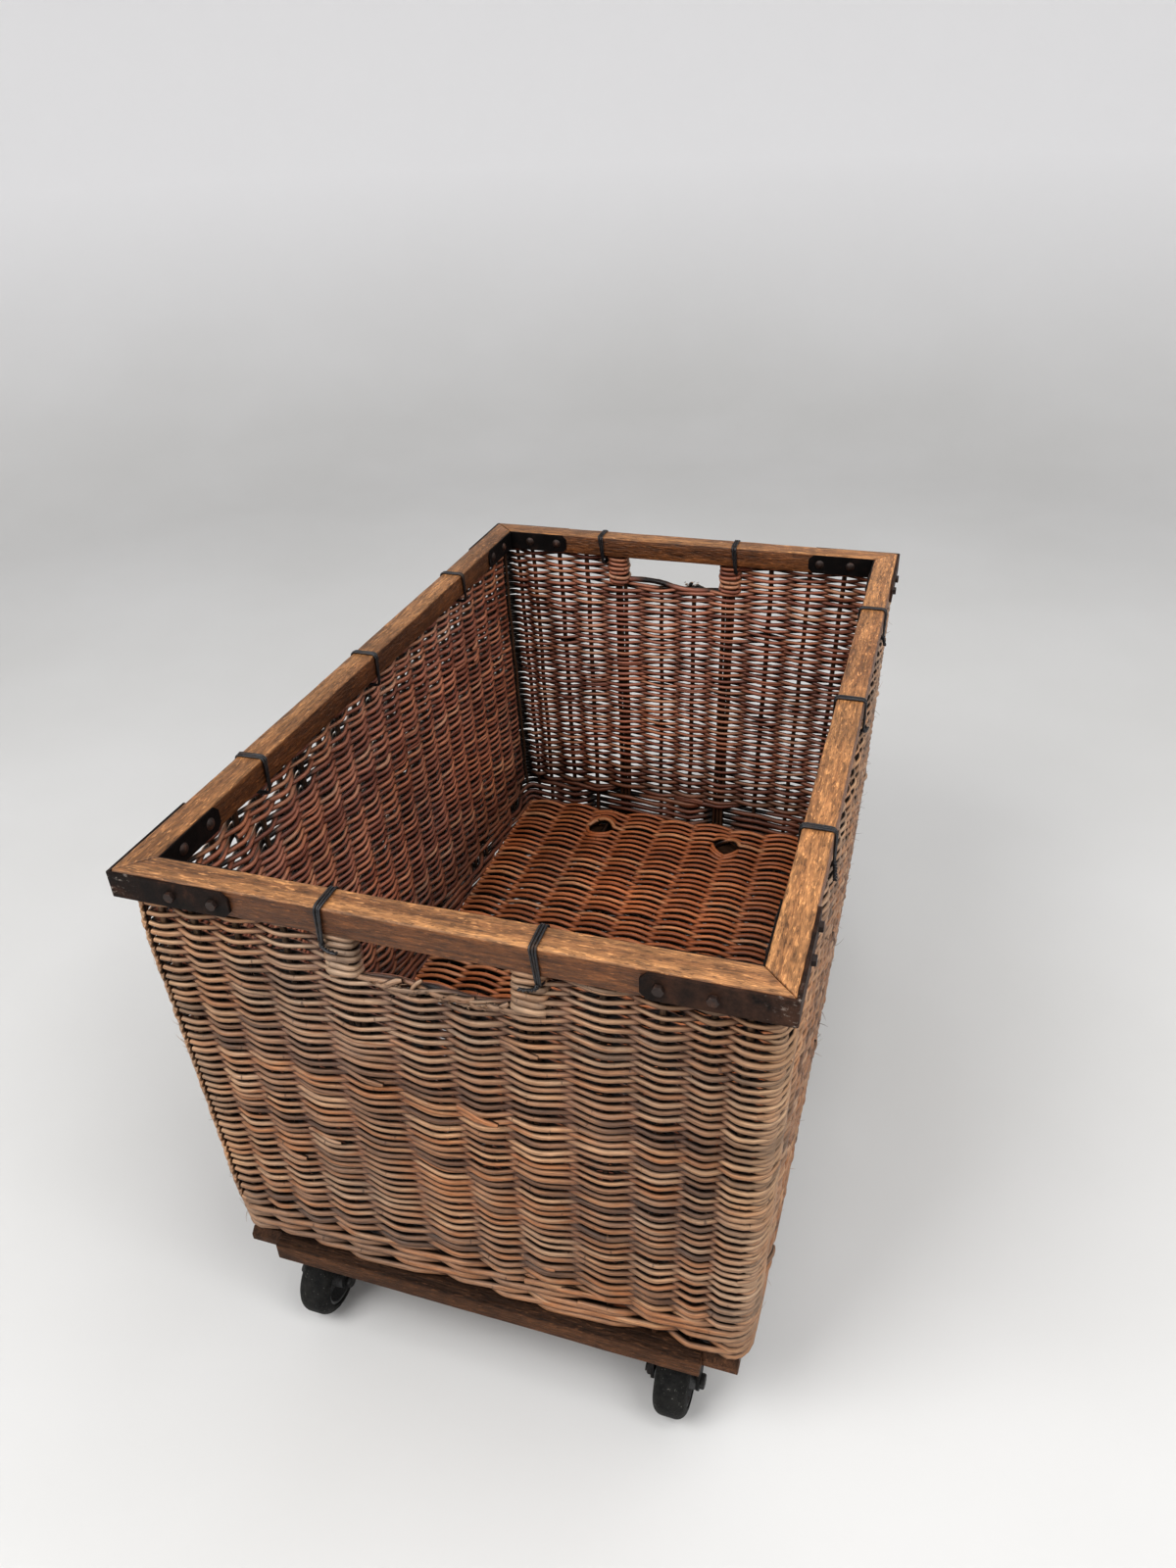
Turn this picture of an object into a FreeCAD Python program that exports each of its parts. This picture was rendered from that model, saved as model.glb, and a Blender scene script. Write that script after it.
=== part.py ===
import FreeCAD, Part
import math
import os

from FreeCAD import Placement, Rotation, Vector

# A wheeled wicker basket: a tapered woven tub under a mitred wooden rim, on a
# wooden base frame with four swivel casters. Millimetres.
# X is the width, Y the length, with the front short end at -Y, and Z is up.
# The origin is on the floor, under the middle of the basket.

# Rim of four square battens, mitred at the corners
RIM_WIDTH = 580.0
RIM_LENGTH = 900.0
RIM_TOP = 611.0
BATTEN = 28.0

# Iron straps and bolts at the rim's corners
OUTER_STRAP = 3.0
INNER_STRAP = 1.5
STRAP_HEIGHT = 25.0
OUTER_STRAP_LEG = 118.0
INNER_STRAP_LEG = 87.0
STRAP_END_CHAMFER = 6.0
BOLTS_FROM_CORNER = (59.0, 100.0)
BOLT_RADIUS = 3.0
BOLT_CLEARANCE = 0.1
BOLT_HEAD_ACROSS_FLATS = 8.6
BOLT_HEAD_HEIGHT = 3.8
BOLT_DOME_RADIUS = 6.0
BOLT_DOME_HEIGHT = 2.8

# Wire ties that lash the rim to the weave
TIE_WIRE = 2.2
TIE_WIDTH = 8.0
TIE_DEPTH_BELOW_RIM = 15.0
SIDE_TIES_Y = {"left": (-255.0, -14.0, 244.0), "right": (-234.0, 12.0, 250.0)}
END_TIES_X = {"front": (-93.0, 94.0), "back": (-120.0, 74.0)}

# Base frame: side rails, cross boards and a middle slat
CASTER_HEIGHT = 106.0
BASE_THICK = 22.0
BASE_WIDTH = 530.0
RAIL_WIDTH = 35.0
RAIL_LENGTH = 882.0
RAIL_BEVEL = 7.0
BOARDS_LENGTH = 900.0
BOARD_DEPTH = 112.0
SLAT_DEPTH = 70.0
SCREW_RADIUS = 2.5
SCREW_HEAD_RADIUS = 5.0
SCREW_LENGTH = 62.0
SCREW_PITCH_ON_BOARD = 60.0
SCREW_PITCH_ON_SLAT = 36.0

# Woven tub, given by its outer size at the base frame and under the rim
TUB_BASE_WIDTH = 550.0
TUB_BASE_LENGTH = 882.0
TUB_TOP_WIDTH = 580.0
TUB_TOP_LENGTH = 896.0
TUB_CORNER = 28.0
WALL = 20.0
FLOOR_THICK = 18.0
HAND_HOLE_WIDTH = 130.0
HAND_HOLE_X = {"front": 0.0, "back": -18.0}
HAND_HOLE_DEPTH = 49.0
HAND_HOLE_ROD = 8.0
FLOOR_HOLE_RADIUS = 17.0
FLOOR_HOLES_X = {"front": (-103.0, 103.0), "back": (-120.0, 86.0)}
FLOOR_HOLE_Y = 372.0

# Swivel casters, measured from the kingpin's axis
CASTER_X = 200.0
CASTER_Y = 383.0
TRAIL = 32.0
PLATE_LENGTH = 84.0
PLATE_WIDTH = 60.0
PLATE_THICK = 4.0
PLATE_CORNER = 6.0
BOSS_RADIUS = 27.0
BOSS_BOTTOM = 95.3
COACH_SCREW_X = 20.0
COACH_SCREW_Y = 32.0
COACH_SCREW_LENGTH = 16.0
COACH_SCREW_RADIUS = 3.0
COACH_HEAD_ACROSS_FLATS = 10.0
COACH_HEAD_HEIGHT = 4.0
CROWN_TOP = 88.0
CROWN_THICK = 3.0
RACE_THICK = 2.0
RACE_RADIUS = 25.0
BALL_RADIUS = 2.5
BALL_CIRCLE = 18.0
BALL_COUNT = 12
KINGPIN_RADIUS = 6.0
KINGPIN_HEAD_RADIUS = 9.0
KINGPIN_HEAD_HEIGHT = 4.5
RUNNING_CLEARANCE = 0.05
FORK_GAP = 44.0
FORK_BEND = 6.0
FORK_EYE_RADIUS = 10.0
WHEEL_RADIUS = 40.0
TYRE_WIDTH = 35.0
TYRE_SHOULDER = 11.0
HUB_RIM_RADIUS = 28.0
HUB_RIM_THICK = 4.0
HUB_RIM_WIDTH = 32.0
HUB_WEB = 7.0
HUB_BOSS_RADIUS = 11.0
HUB_BOSS_WIDTH = 43.0
HUB_HOLES = 5
HUB_HOLE_RADIUS = 4.6
AXLE_RADIUS = 5.0
AXLE_NUT_ACROSS_FLATS = 13.0
AXLE_NUT_HEIGHT = 5.0

BATTEN_BOTTOM = RIM_TOP - BATTEN
BATTEN_MIDDLE = RIM_TOP - BATTEN / 2
BASE_TOP = CASTER_HEIGHT + BASE_THICK
HAND_HOLE_BOTTOM = BATTEN_BOTTOM - HAND_HOLE_DEPTH
ACROSS_X = Vector(1, 0, 0)
ACROSS_Y = Vector(0, 1, 0)
UP = Vector(0, 0, 1)
ENDS = {"front": -1, "back": 1}
SIDES = {"left": -1, "right": 1}


def block(low, high):
    """A box between two corners."""
    size = Vector(*high) - Vector(*low)
    return Part.makeBox(size.x, size.y, size.z, Vector(*low))


def rod(radius, start, direction, length):
    return Part.makeCylinder(radius, length, Vector(*start), direction)


def prism(points, along):
    """A polygon pushed along a vector."""
    corners = [Vector(*p) for p in points]
    face = Part.Face(Part.makePolygon(corners + corners[:1]))
    return face.extrude(along)


def hexagon(across_flats, height, start, direction):
    """A hexagonal head or nut standing on a point."""
    radius = across_flats / math.sqrt(3)
    angles = [math.radians(60 * i) for i in range(6)]
    flat = prism([(radius * math.cos(a), radius * math.sin(a), 0) for a in angles], UP * height)
    corner_cone = Part.makeCone(across_flats / 2 + height, across_flats / 2, height)
    head = flat.common(corner_cone).Solids[0]
    return head.transformed(Placement(Vector(*start), Rotation(UP, direction)).toMatrix())


def rounded_rectangle(width, length, radius, height):
    """A closed wire about the Z axis with round corners."""
    x = width / 2
    y = length / 2
    flat = Part.Face(Part.makePolygon([Vector(-x, -y, height), Vector(x, -y, height), Vector(x, y, height),
                                       Vector(-x, y, height), Vector(-x, -y, height)]))
    solid = flat.extrude(UP)
    uprights = [e for e in solid.Edges if abs(e.Vertexes[0].Z - e.Vertexes[-1].Z) > 0.5]
    rounded = solid.makeFillet(radius, uprights)
    bottom = min(rounded.Faces, key=lambda f: f.CenterOfMass.z)
    return bottom.OuterWire


def mirrored(shape, side, end):
    """A back right shape turned into the one at the named side and end."""
    if side < 0:
        shape = shape.mirror(Vector(), ACROSS_X)
    if end < 0:
        shape = shape.mirror(Vector(), ACROSS_Y)
    return shape


def bolt_lines():
    """Bolt axes at the back right corner: a point on the rim's outer face and the way in."""
    lines = []
    for distance in BOLTS_FROM_CORNER:
        lines.append(((RIM_WIDTH / 2, RIM_LENGTH / 2 - distance, BATTEN_MIDDLE), ACROSS_X * -1))
        lines.append(((RIM_WIDTH / 2 - distance, RIM_LENGTH / 2, BATTEN_MIDDLE), ACROSS_Y * -1))
    return lines


def bolt_holes():
    """The holes of all four corners, long enough for batten and straps."""
    holes = []
    for start, inward in bolt_lines():
        begin = Vector(*start) - inward * 2 * OUTER_STRAP
        hole = rod(BOLT_RADIUS + BOLT_CLEARANCE, begin, inward, BATTEN + 4 * OUTER_STRAP)
        for side in SIDES.values():
            for end in ENDS.values():
                holes.append(mirrored(hole, side, end))
    return Part.makeCompound(holes)


def rim_batten(outer_x, outer_y, holes):
    """A mitred batten along X at +Y, or along Y at +X when the sizes are swapped by turning."""
    trapezoid = [(-outer_x, outer_y, BATTEN_BOTTOM), (outer_x, outer_y, BATTEN_BOTTOM),
                 (outer_x - BATTEN, outer_y - BATTEN, BATTEN_BOTTOM),
                 (-outer_x + BATTEN, outer_y - BATTEN, BATTEN_BOTTOM)]
    batten = prism(trapezoid, UP * BATTEN)
    long_edges = [e for e in batten.Edges if e.Length > 2 * BATTEN]
    return batten.makeFillet(1.5, long_edges).cut(holes)


def rim_end(end, holes):
    return mirrored(rim_batten(RIM_WIDTH / 2, RIM_LENGTH / 2, holes), 1, end)


def rim_side(side, holes):
    quarter_turn = Placement(Vector(), Rotation(UP, -90))
    batten = rim_batten(RIM_LENGTH / 2, RIM_WIDTH / 2, Part.makeCompound([]))
    batten.Placement = quarter_turn
    return mirrored(batten, side, 1).cut(holes)


def corner_strap(corner_x, corner_y, leg, thick, outside):
    """An L of flat iron at the back right, outside the corner or in its inner angle."""
    low = BATTEN_MIDDLE - STRAP_HEIGHT / 2
    grown = thick if outside else 0.0
    x = corner_x + grown
    y = corner_y + grown
    angle = prism([(x, y, low), (x, y - leg, low), (x - thick, y - leg, low), (x - thick, y - thick, low),
                   (x - leg, y - thick, low), (x - leg, y, low)], UP * STRAP_HEIGHT)
    bend = [e for e in angle.Edges if e.Length > STRAP_HEIGHT - 1 and e.CenterOfMass.x > x - 0.1
            and e.CenterOfMass.y > y - 0.1]
    strap = angle.makeFillet(0.8 * thick, bend)
    for height, lift in ((low, 1), (low + STRAP_HEIGHT, -1)):
        tip = STRAP_END_CHAMFER
        strap = strap.cut(prism([(x + 1, y - leg, height), (x + 1, y - leg + tip, height),
                                 (x + 1, y - leg, height + lift * tip)], ACROSS_X * -(thick + 2)))
        strap = strap.cut(prism([(x - leg, y + 1, height), (x - leg + tip, y + 1, height),
                                 (x - leg, y + 1, height + lift * tip)], ACROSS_Y * -(thick + 2)))
    return strap


def outer_strap(side, end, holes):
    strap = corner_strap(RIM_WIDTH / 2, RIM_LENGTH / 2, OUTER_STRAP_LEG, OUTER_STRAP, True)
    return mirrored(strap, side, end).cut(holes)


def inner_strap(side, end, holes):
    strap = corner_strap(RIM_WIDTH / 2 - BATTEN, RIM_LENGTH / 2 - BATTEN, INNER_STRAP_LEG, INNER_STRAP, False)
    return mirrored(strap, side, end).cut(holes)


def domed_pin(start, direction, length):
    """A round shank from a point, with a low domed end wider than the shank."""
    dome_edge = Vector(BOLT_DOME_RADIUS, 0, length)
    dome_top = Vector(0, 0, length + BOLT_DOME_HEIGHT)
    ball_radius = (BOLT_DOME_RADIUS ** 2 + BOLT_DOME_HEIGHT ** 2) / (2 * BOLT_DOME_HEIGHT)
    half_angle = math.asin(BOLT_DOME_RADIUS / ball_radius) / 2
    dome_middle = dome_top + Vector(math.sin(half_angle), 0, math.cos(half_angle) - 1) * ball_radius
    outline = Part.makePolygon([dome_top, Vector(), Vector(BOLT_RADIUS, 0, 0), Vector(BOLT_RADIUS, 0, length),
                                dome_edge])
    dome = Part.Arc(dome_edge, dome_middle, dome_top).toShape()
    pin = Part.Face(Part.Wire(outline.Edges + [dome])).revolve(Vector(), UP, 360)
    return pin.transformed(Placement(Vector(*start), Rotation(UP, direction)).toMatrix())


def bracket_bolt(start, inward):
    """A bolt through outer strap, batten and inner strap, with a hex head and a domed end."""
    face = Vector(*start) - inward * OUTER_STRAP
    head = hexagon(BOLT_HEAD_ACROSS_FLATS, BOLT_HEAD_HEIGHT, face, inward * -1)
    return head.fuse(domed_pin(face, inward, OUTER_STRAP + BATTEN + INNER_STRAP)).removeSplitter().Solids[0]


def bracket_bolts():
    bolts = []
    for start, inward in bolt_lines():
        bolt = bracket_bolt(start, inward)
        for side in SIDES.values():
            for end in ENDS.values():
                bolts.append(mirrored(bolt, side, end))
    return Part.makeCompound(bolts)


def tie_loop():
    """One tie at +X: a loop round the batten that dips through the top of the weave."""
    outer = RIM_WIDTH / 2
    inner = outer - BATTEN
    bottom = BATTEN_BOTTOM - TIE_DEPTH_BELOW_RIM
    around = block((inner - TIE_WIRE, -TIE_WIDTH / 2, bottom), (outer + TIE_WIRE, TIE_WIDTH / 2, RIM_TOP + TIE_WIRE))
    hole = block((inner, -TIE_WIDTH, bottom + TIE_WIRE), (outer, TIE_WIDTH, RIM_TOP))
    return around.cut(hole)


def rim_ties():
    """All ties: three on each side, two on each end."""
    ties = []
    for side_name, side in SIDES.items():
        for y in SIDE_TIES_Y[side_name]:
            ties.append(mirrored(tie_loop().translated(ACROSS_Y * y), side, 1))
    to_end = ACROSS_Y * (RIM_LENGTH - RIM_WIDTH) / 2
    end_tie = tie_loop().rotated(Vector(), UP, 90).translated(to_end)
    for end_name, end in ENDS.items():
        for x in END_TIES_X[end_name]:
            ties.append(mirrored(end_tie.translated(ACROSS_X * x), 1, end))
    return Part.makeCompound(ties)


def tub_loft(inset):
    """The tapered tub's full solid, its sides moved in by a distance."""
    bottom = rounded_rectangle(TUB_BASE_WIDTH - 2 * inset, TUB_BASE_LENGTH - 2 * inset, TUB_CORNER - inset, BASE_TOP)
    top = rounded_rectangle(TUB_TOP_WIDTH - 2 * inset, TUB_TOP_LENGTH - 2 * inset, TUB_CORNER - inset, BATTEN_BOTTOM)
    return Part.makeLoft([bottom, top], True, True)


def wicker_end(end, hole_x, ring, ties):
    """A short wall between the corners, with the hand hole open at its top."""
    half = TUB_BASE_WIDTH / 2 - TUB_CORNER
    region = block((-half, TUB_BASE_LENGTH / 4, 0), (half, RIM_LENGTH, RIM_TOP))
    hole = block((hole_x - HAND_HOLE_WIDTH / 2, 0, HAND_HOLE_BOTTOM),
                 (hole_x + HAND_HOLE_WIDTH / 2, RIM_LENGTH, RIM_TOP))
    return ring.common(mirrored(region, 1, end)).cut(mirrored(hole, 1, end)).cut(ties)


def wicker_side(side, ring, ties):
    """A long wall with the two rounded corners that it turns into."""
    half = TUB_BASE_WIDTH / 2 - TUB_CORNER
    region = block((half, -RIM_LENGTH, 0), (RIM_WIDTH, RIM_LENGTH, RIM_TOP))
    return ring.common(mirrored(region, side, 1)).cut(ties)


def wicker_floor(inside):
    """The woven floor between the walls, with four round holes."""
    slab = block((-RIM_WIDTH, -RIM_LENGTH, BASE_TOP), (RIM_WIDTH, RIM_LENGTH, BASE_TOP + FLOOR_THICK))
    floor = inside.common(slab)
    for end_name, end in ENDS.items():
        for x in FLOOR_HOLES_X[end_name]:
            start = (x, end * FLOOR_HOLE_Y, BASE_TOP - 1)
            floor = floor.cut(rod(FLOOR_HOLE_RADIUS, start, UP, FLOOR_THICK + 2))
    return floor


def hand_hole_rod(end, hole_x):
    """The smooth rod along the lower edge of a hand hole."""
    radius = HAND_HOLE_ROD / 2
    share = (HAND_HOLE_BOTTOM - BASE_TOP) / (BATTEN_BOTTOM - BASE_TOP)
    outer = (TUB_BASE_LENGTH + (TUB_TOP_LENGTH - TUB_BASE_LENGTH) * share) / 2
    start = (hole_x - HAND_HOLE_WIDTH / 2, end * (outer - WALL / 2), HAND_HOLE_BOTTOM + radius)
    return rod(radius, start, ACROSS_X, HAND_HOLE_WIDTH)


def screw_lines():
    """Wood screw axes at the back right: a point on the rail's outer face, going in along -X."""
    middle = BASE_TOP - BASE_THICK / 2
    board_y = BOARDS_LENGTH / 2 - BOARD_DEPTH / 2
    points = [(BASE_WIDTH / 2, board_y + s * SCREW_PITCH_ON_BOARD / 2, middle) for s in (-1, 1)]
    points.append((BASE_WIDTH / 2, SCREW_PITCH_ON_SLAT / 2, middle))
    return points


def wood_screw(point, grown):
    """A countersunk screw, or its hole when grown."""
    x, y, z = point
    into = ACROSS_X * -1
    head_depth = SCREW_HEAD_RADIUS - SCREW_RADIUS
    head = Part.makeCone(SCREW_HEAD_RADIUS + grown, SCREW_RADIUS + grown, head_depth, Vector(x, y, z), into)
    return head.fuse(rod(SCREW_RADIUS + grown, (x, y, z), into, SCREW_LENGTH + grown)).removeSplitter()


def base_screws(grown=0.0):
    """Wood screws through the rails into the boards and the slat."""
    screws = []
    for point in screw_lines():
        for side in SIDES.values():
            for end in ENDS.values():
                screws.append(mirrored(wood_screw(point, grown), side, end))
    return Part.makeCompound(screws)


def base_rail(side, holes):
    """A side rail with bevelled ends."""
    x = BASE_WIDTH / 2
    y = RAIL_LENGTH / 2
    z = CASTER_HEIGHT
    rail = block((x - RAIL_WIDTH, -y, z), (x, y, BASE_TOP))
    for end in ENDS.values():
        for height, lift in ((z, 1), (BASE_TOP, -1)):
            tip = [(x + 1, end * y, height), (x + 1, end * (y - RAIL_BEVEL), height),
                   (x + 1, end * y, height + lift * RAIL_BEVEL)]
            rail = rail.cut(prism(tip, ACROSS_X * -(RAIL_WIDTH + 2)))
    long_edges = [e for e in rail.Edges if e.Length > RAIL_LENGTH / 2]
    return mirrored(rail.makeFillet(1.5, long_edges), side, 1).cut(holes)


def cross_board(end, holes):
    """A wide board between the rails, over a pair of casters."""
    x = BASE_WIDTH / 2 - RAIL_WIDTH
    front = BOARDS_LENGTH / 2
    board = block((-x, front - BOARD_DEPTH, CASTER_HEIGHT), (x, front, BASE_TOP))
    nose = [e for e in board.Edges if e.Length > x and e.CenterOfMass.y > front - 1]
    return mirrored(board.makeFillet(2.0, nose), 1, end).cut(holes)


def middle_slat(holes):
    x = BASE_WIDTH / 2 - RAIL_WIDTH
    return block((-x, -SLAT_DEPTH / 2, CASTER_HEIGHT), (x, SLAT_DEPTH / 2, BASE_TOP)).cut(holes)


def coach_screw_points():
    return [(sx * COACH_SCREW_X, sy * COACH_SCREW_Y) for sx in (-1, 1) for sy in (-1, 1)]


def coach_screw(x, y):
    """A hex-headed wood screw going up through a caster's plate."""
    plate_bottom = CASTER_HEIGHT - PLATE_THICK
    head = hexagon(COACH_HEAD_ACROSS_FLATS, COACH_HEAD_HEIGHT, (x, y, plate_bottom), UP * -1)
    shank_length = PLATE_THICK + COACH_SCREW_LENGTH
    point_height = 2 * COACH_SCREW_RADIUS
    shank = rod(COACH_SCREW_RADIUS, (x, y, plate_bottom), UP, shank_length - point_height)
    tip = Part.makeCone(COACH_SCREW_RADIUS, 0.5, point_height, Vector(x, y, plate_bottom + shank_length - point_height))
    return head.fuse([shank, tip]).removeSplitter()


def at_casters(shape):
    """Copies of a caster's piece at the four corners of the base."""
    places = [Vector(s * CASTER_X, e * CASTER_Y, 0) for s in SIDES.values() for e in ENDS.values()]
    return Part.makeCompound([shape.translated(place) for place in places])


def coach_screws():
    return at_casters(Part.makeCompound([coach_screw(x, y) for x, y in coach_screw_points()]))


def coach_screw_holes():
    reach = COACH_SCREW_LENGTH + PLATE_THICK + 1
    radius = COACH_SCREW_RADIUS + BOLT_CLEARANCE
    holes = [rod(radius, (x, y, CASTER_HEIGHT - PLATE_THICK), UP, reach) for x, y in coach_screw_points()]
    return at_casters(Part.makeCompound(holes))


def caster_plate():
    """The top plate with its corners rounded, and the boss that holds the upper race."""
    bottom = CASTER_HEIGHT - PLATE_THICK
    flat = Part.Face(rounded_rectangle(PLATE_WIDTH, PLATE_LENGTH, PLATE_CORNER, bottom)).extrude(UP * PLATE_THICK)
    boss = Part.makeCone(BOSS_RADIUS - 1.5, BOSS_RADIUS, bottom - BOSS_BOTTOM, Vector(0, 0, BOSS_BOTTOM))
    plate = flat.fuse(boss)
    plate = plate.cut(rod(KINGPIN_RADIUS, (0, 0, BOSS_BOTTOM - 1), UP, CASTER_HEIGHT))
    for x, y in coach_screw_points():
        plate = plate.cut(rod(COACH_SCREW_RADIUS + BOLT_CLEARANCE, (x, y, bottom - 1), UP, PLATE_THICK + 2))
    return plate.removeSplitter()


def caster_kingpin():
    """The pin that is riveted into the plate and carries the fork on its head."""
    head_top = CROWN_TOP - CROWN_THICK - RUNNING_CLEARANCE
    head_bottom = head_top - KINGPIN_HEAD_HEIGHT
    shank = rod(KINGPIN_RADIUS, (0, 0, head_bottom), UP, CASTER_HEIGHT - head_bottom)
    head = Part.makeCone(KINGPIN_HEAD_RADIUS - 2, KINGPIN_HEAD_RADIUS, KINGPIN_HEAD_HEIGHT, Vector(0, 0, head_bottom))
    return shank.fuse(head).removeSplitter()


def caster_ball_race():
    """The lower race on the fork's crown, and its ring of balls."""
    cup = rod(RACE_RADIUS, (0, 0, CROWN_TOP), UP, RACE_THICK)
    cup = cup.cut(rod(KINGPIN_RADIUS + 3, (0, 0, CROWN_TOP - 1), UP, RACE_THICK + 2))
    centre = CROWN_TOP + RACE_THICK + BALL_RADIUS + RUNNING_CLEARANCE
    pieces = [cup]
    for i in range(BALL_COUNT):
        angle = 2 * math.pi * i / BALL_COUNT
        place = Vector(BALL_CIRCLE * math.cos(angle), BALL_CIRCLE * math.sin(angle), centre)
        pieces.append(Part.makeSphere(BALL_RADIUS, place))
    return Part.makeCompound(pieces)


def fork_section():
    """The fork seen along Y: an upturned U with round bends, pushed along Y."""
    inner = FORK_GAP / 2
    outer = inner + CROWN_THICK
    low = WHEEL_RADIUS - FORK_EYE_RADIUS
    reach = 2 * WHEEL_RADIUS
    solid = block((-outer, -reach, low), (outer, reach, CROWN_TOP))
    bends = [e for e in solid.Edges if e.Length > reach and e.CenterOfMass.z > CROWN_TOP - 1]
    hollow = block((-inner, -reach, low), (inner, reach, CROWN_TOP - CROWN_THICK))
    inside_bends = [e for e in hollow.Edges if e.Length > reach and e.CenterOfMass.z > CROWN_TOP - CROWN_THICK - 1]
    inside_bend = FORK_BEND - CROWN_THICK
    return solid.makeFillet(FORK_BEND, bends).cut(hollow.makeFillet(inside_bend, inside_bends))


def fork_side_view():
    """The fork seen along X: a crown as long as the race, narrowing to the axle's eye."""
    half = FORK_GAP / 2 + CROWN_THICK
    front = -(RACE_RADIUS + 9)
    axle = (-TRAIL, WHEEL_RADIUS)
    cheek = prism([(-half, RACE_RADIUS, CROWN_TOP), (-half, front, CROWN_TOP),
                   (-half, axle[0] - FORK_EYE_RADIUS, axle[1]), (-half, axle[0] + FORK_EYE_RADIUS * 0.8, axle[1] - 6),
                   (-half, RACE_RADIUS, CROWN_TOP - 14)], ACROSS_X * 2 * half)
    eye = rod(FORK_EYE_RADIUS, (-half, axle[0], axle[1]), ACROSS_X, 2 * half)
    return cheek.fuse(eye).removeSplitter()


def caster_fork():
    fork = fork_section().common(fork_side_view())
    kingpin_hole = rod(KINGPIN_RADIUS + RUNNING_CLEARANCE, (0, 0, CROWN_TOP - 2 * CROWN_THICK), UP, 4 * CROWN_THICK)
    axle_hole = rod(AXLE_RADIUS + RUNNING_CLEARANCE, (-FORK_GAP, -TRAIL, WHEEL_RADIUS), ACROSS_X, 2 * FORK_GAP)
    return fork.cut(kingpin_hole).cut(axle_hole)


def caster_axle():
    """The axle bolt through fork and hub, and its nut."""
    face = FORK_GAP / 2 + CROWN_THICK
    head = hexagon(AXLE_NUT_ACROSS_FLATS, AXLE_NUT_HEIGHT, (face, -TRAIL, WHEEL_RADIUS), ACROSS_X)
    length = 2 * face + AXLE_NUT_HEIGHT + 2
    shank = rod(AXLE_RADIUS, (face, -TRAIL, WHEEL_RADIUS), ACROSS_X * -1, length)
    nut = hexagon(AXLE_NUT_ACROSS_FLATS, AXLE_NUT_HEIGHT, (-face, -TRAIL, WHEEL_RADIUS), ACROSS_X * -1)
    bore = rod(AXLE_RADIUS + RUNNING_CLEARANCE, (-face, -TRAIL, WHEEL_RADIUS), ACROSS_X * -1, AXLE_NUT_HEIGHT)
    return Part.makeCompound([head.fuse(shank).removeSplitter(), nut.cut(bore)])


def wheel_turned(profile):
    """A closed outline of (distance along the axle, radius) turned about the axle."""
    points = [Vector(along, -TRAIL, WHEEL_RADIUS + radius) for along, radius in profile]
    face = Part.Face(Part.makePolygon(points + points[:1]))
    return face.revolve(Vector(0, -TRAIL, WHEEL_RADIUS), ACROSS_X, 360)


def caster_hub():
    """An iron hub: rim, web with round holes, and a long boss bored for the axle."""
    bore = AXLE_RADIUS + RUNNING_CLEARANCE
    rim_in = HUB_RIM_RADIUS - HUB_RIM_THICK
    rim = HUB_RIM_WIDTH / 2
    web = HUB_WEB / 2
    boss = HUB_BOSS_WIDTH / 2
    half = [(boss, bore), (boss, HUB_BOSS_RADIUS - 1.5), (web, HUB_BOSS_RADIUS), (web, rim_in - 1),
            (rim, rim_in + 1), (rim, HUB_RIM_RADIUS)]
    hub = wheel_turned(half + [(-along, radius) for along, radius in reversed(half)])
    circle = (HUB_BOSS_RADIUS + rim_in) / 2
    for i in range(HUB_HOLES):
        angle = 2 * math.pi * i / HUB_HOLES
        start = (-boss, -TRAIL + circle * math.sin(angle), WHEEL_RADIUS + circle * math.cos(angle))
        hub = hub.cut(rod(HUB_HOLE_RADIUS, start, ACROSS_X, 2 * boss))
    return hub


def caster_tyre():
    """A solid rubber tyre with round shoulders."""
    half = TYRE_WIDTH / 2
    tyre = wheel_turned([(-half, HUB_RIM_RADIUS), (half, HUB_RIM_RADIUS), (half, WHEEL_RADIUS), (-half, WHEEL_RADIUS)])
    shoulders = [e for e in tyre.Edges if abs(e.Length - 2 * math.pi * WHEEL_RADIUS) < 1]
    return tyre.makeFillet(TYRE_SHOULDER, shoulders)


def caster_parts():
    return {"plate": caster_plate(), "kingpin": caster_kingpin(), "ball_race": caster_ball_race(),
            "fork": caster_fork(), "axle": caster_axle(), "hub": caster_hub(), "tyre": caster_tyre()}


def basket_parts():
    """Every node by name."""
    holes = bolt_holes()
    ties = rim_ties()
    inside = tub_loft(WALL)
    ring = tub_loft(0).cut(inside)
    screw_holes = base_screws(BOLT_CLEARANCE)
    coach_holes = coach_screw_holes()
    parts = {"bracket_bolts": bracket_bolts(), "rim_ties": ties, "wicker_floor": wicker_floor(inside),
             "middle_slat": middle_slat(screw_holes), "base_screws": base_screws(),
             "coach_screws": coach_screws()}
    for end_name, end in ENDS.items():
        parts["rim_" + end_name] = rim_end(end, holes)
        parts["wicker_" + end_name] = wicker_end(end, HAND_HOLE_X[end_name], ring, ties)
        parts["hand_hole_rod_" + end_name] = hand_hole_rod(end, HAND_HOLE_X[end_name])
        parts["cross_board_" + end_name] = cross_board(end, screw_holes).cut(coach_holes)
    for side_name, side in SIDES.items():
        parts["rim_" + side_name] = rim_side(side, holes)
        parts["wicker_" + side_name] = wicker_side(side, ring, ties)
        parts["base_rail_" + side_name] = base_rail(side, screw_holes)
    for end_name, end in ENDS.items():
        for side_name, side in SIDES.items():
            corner = end_name + "_" + side_name
            parts["outer_bracket_" + corner] = outer_strap(side, end, holes)
            parts["inner_bracket_" + corner] = inner_strap(side, end, holes)
            for piece, shape in caster_parts().items():
                place = Vector(side * CASTER_X, end * CASTER_Y, 0)
                parts["caster_" + corner + "_" + piece] = shape.translated(place)
    return parts


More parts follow.
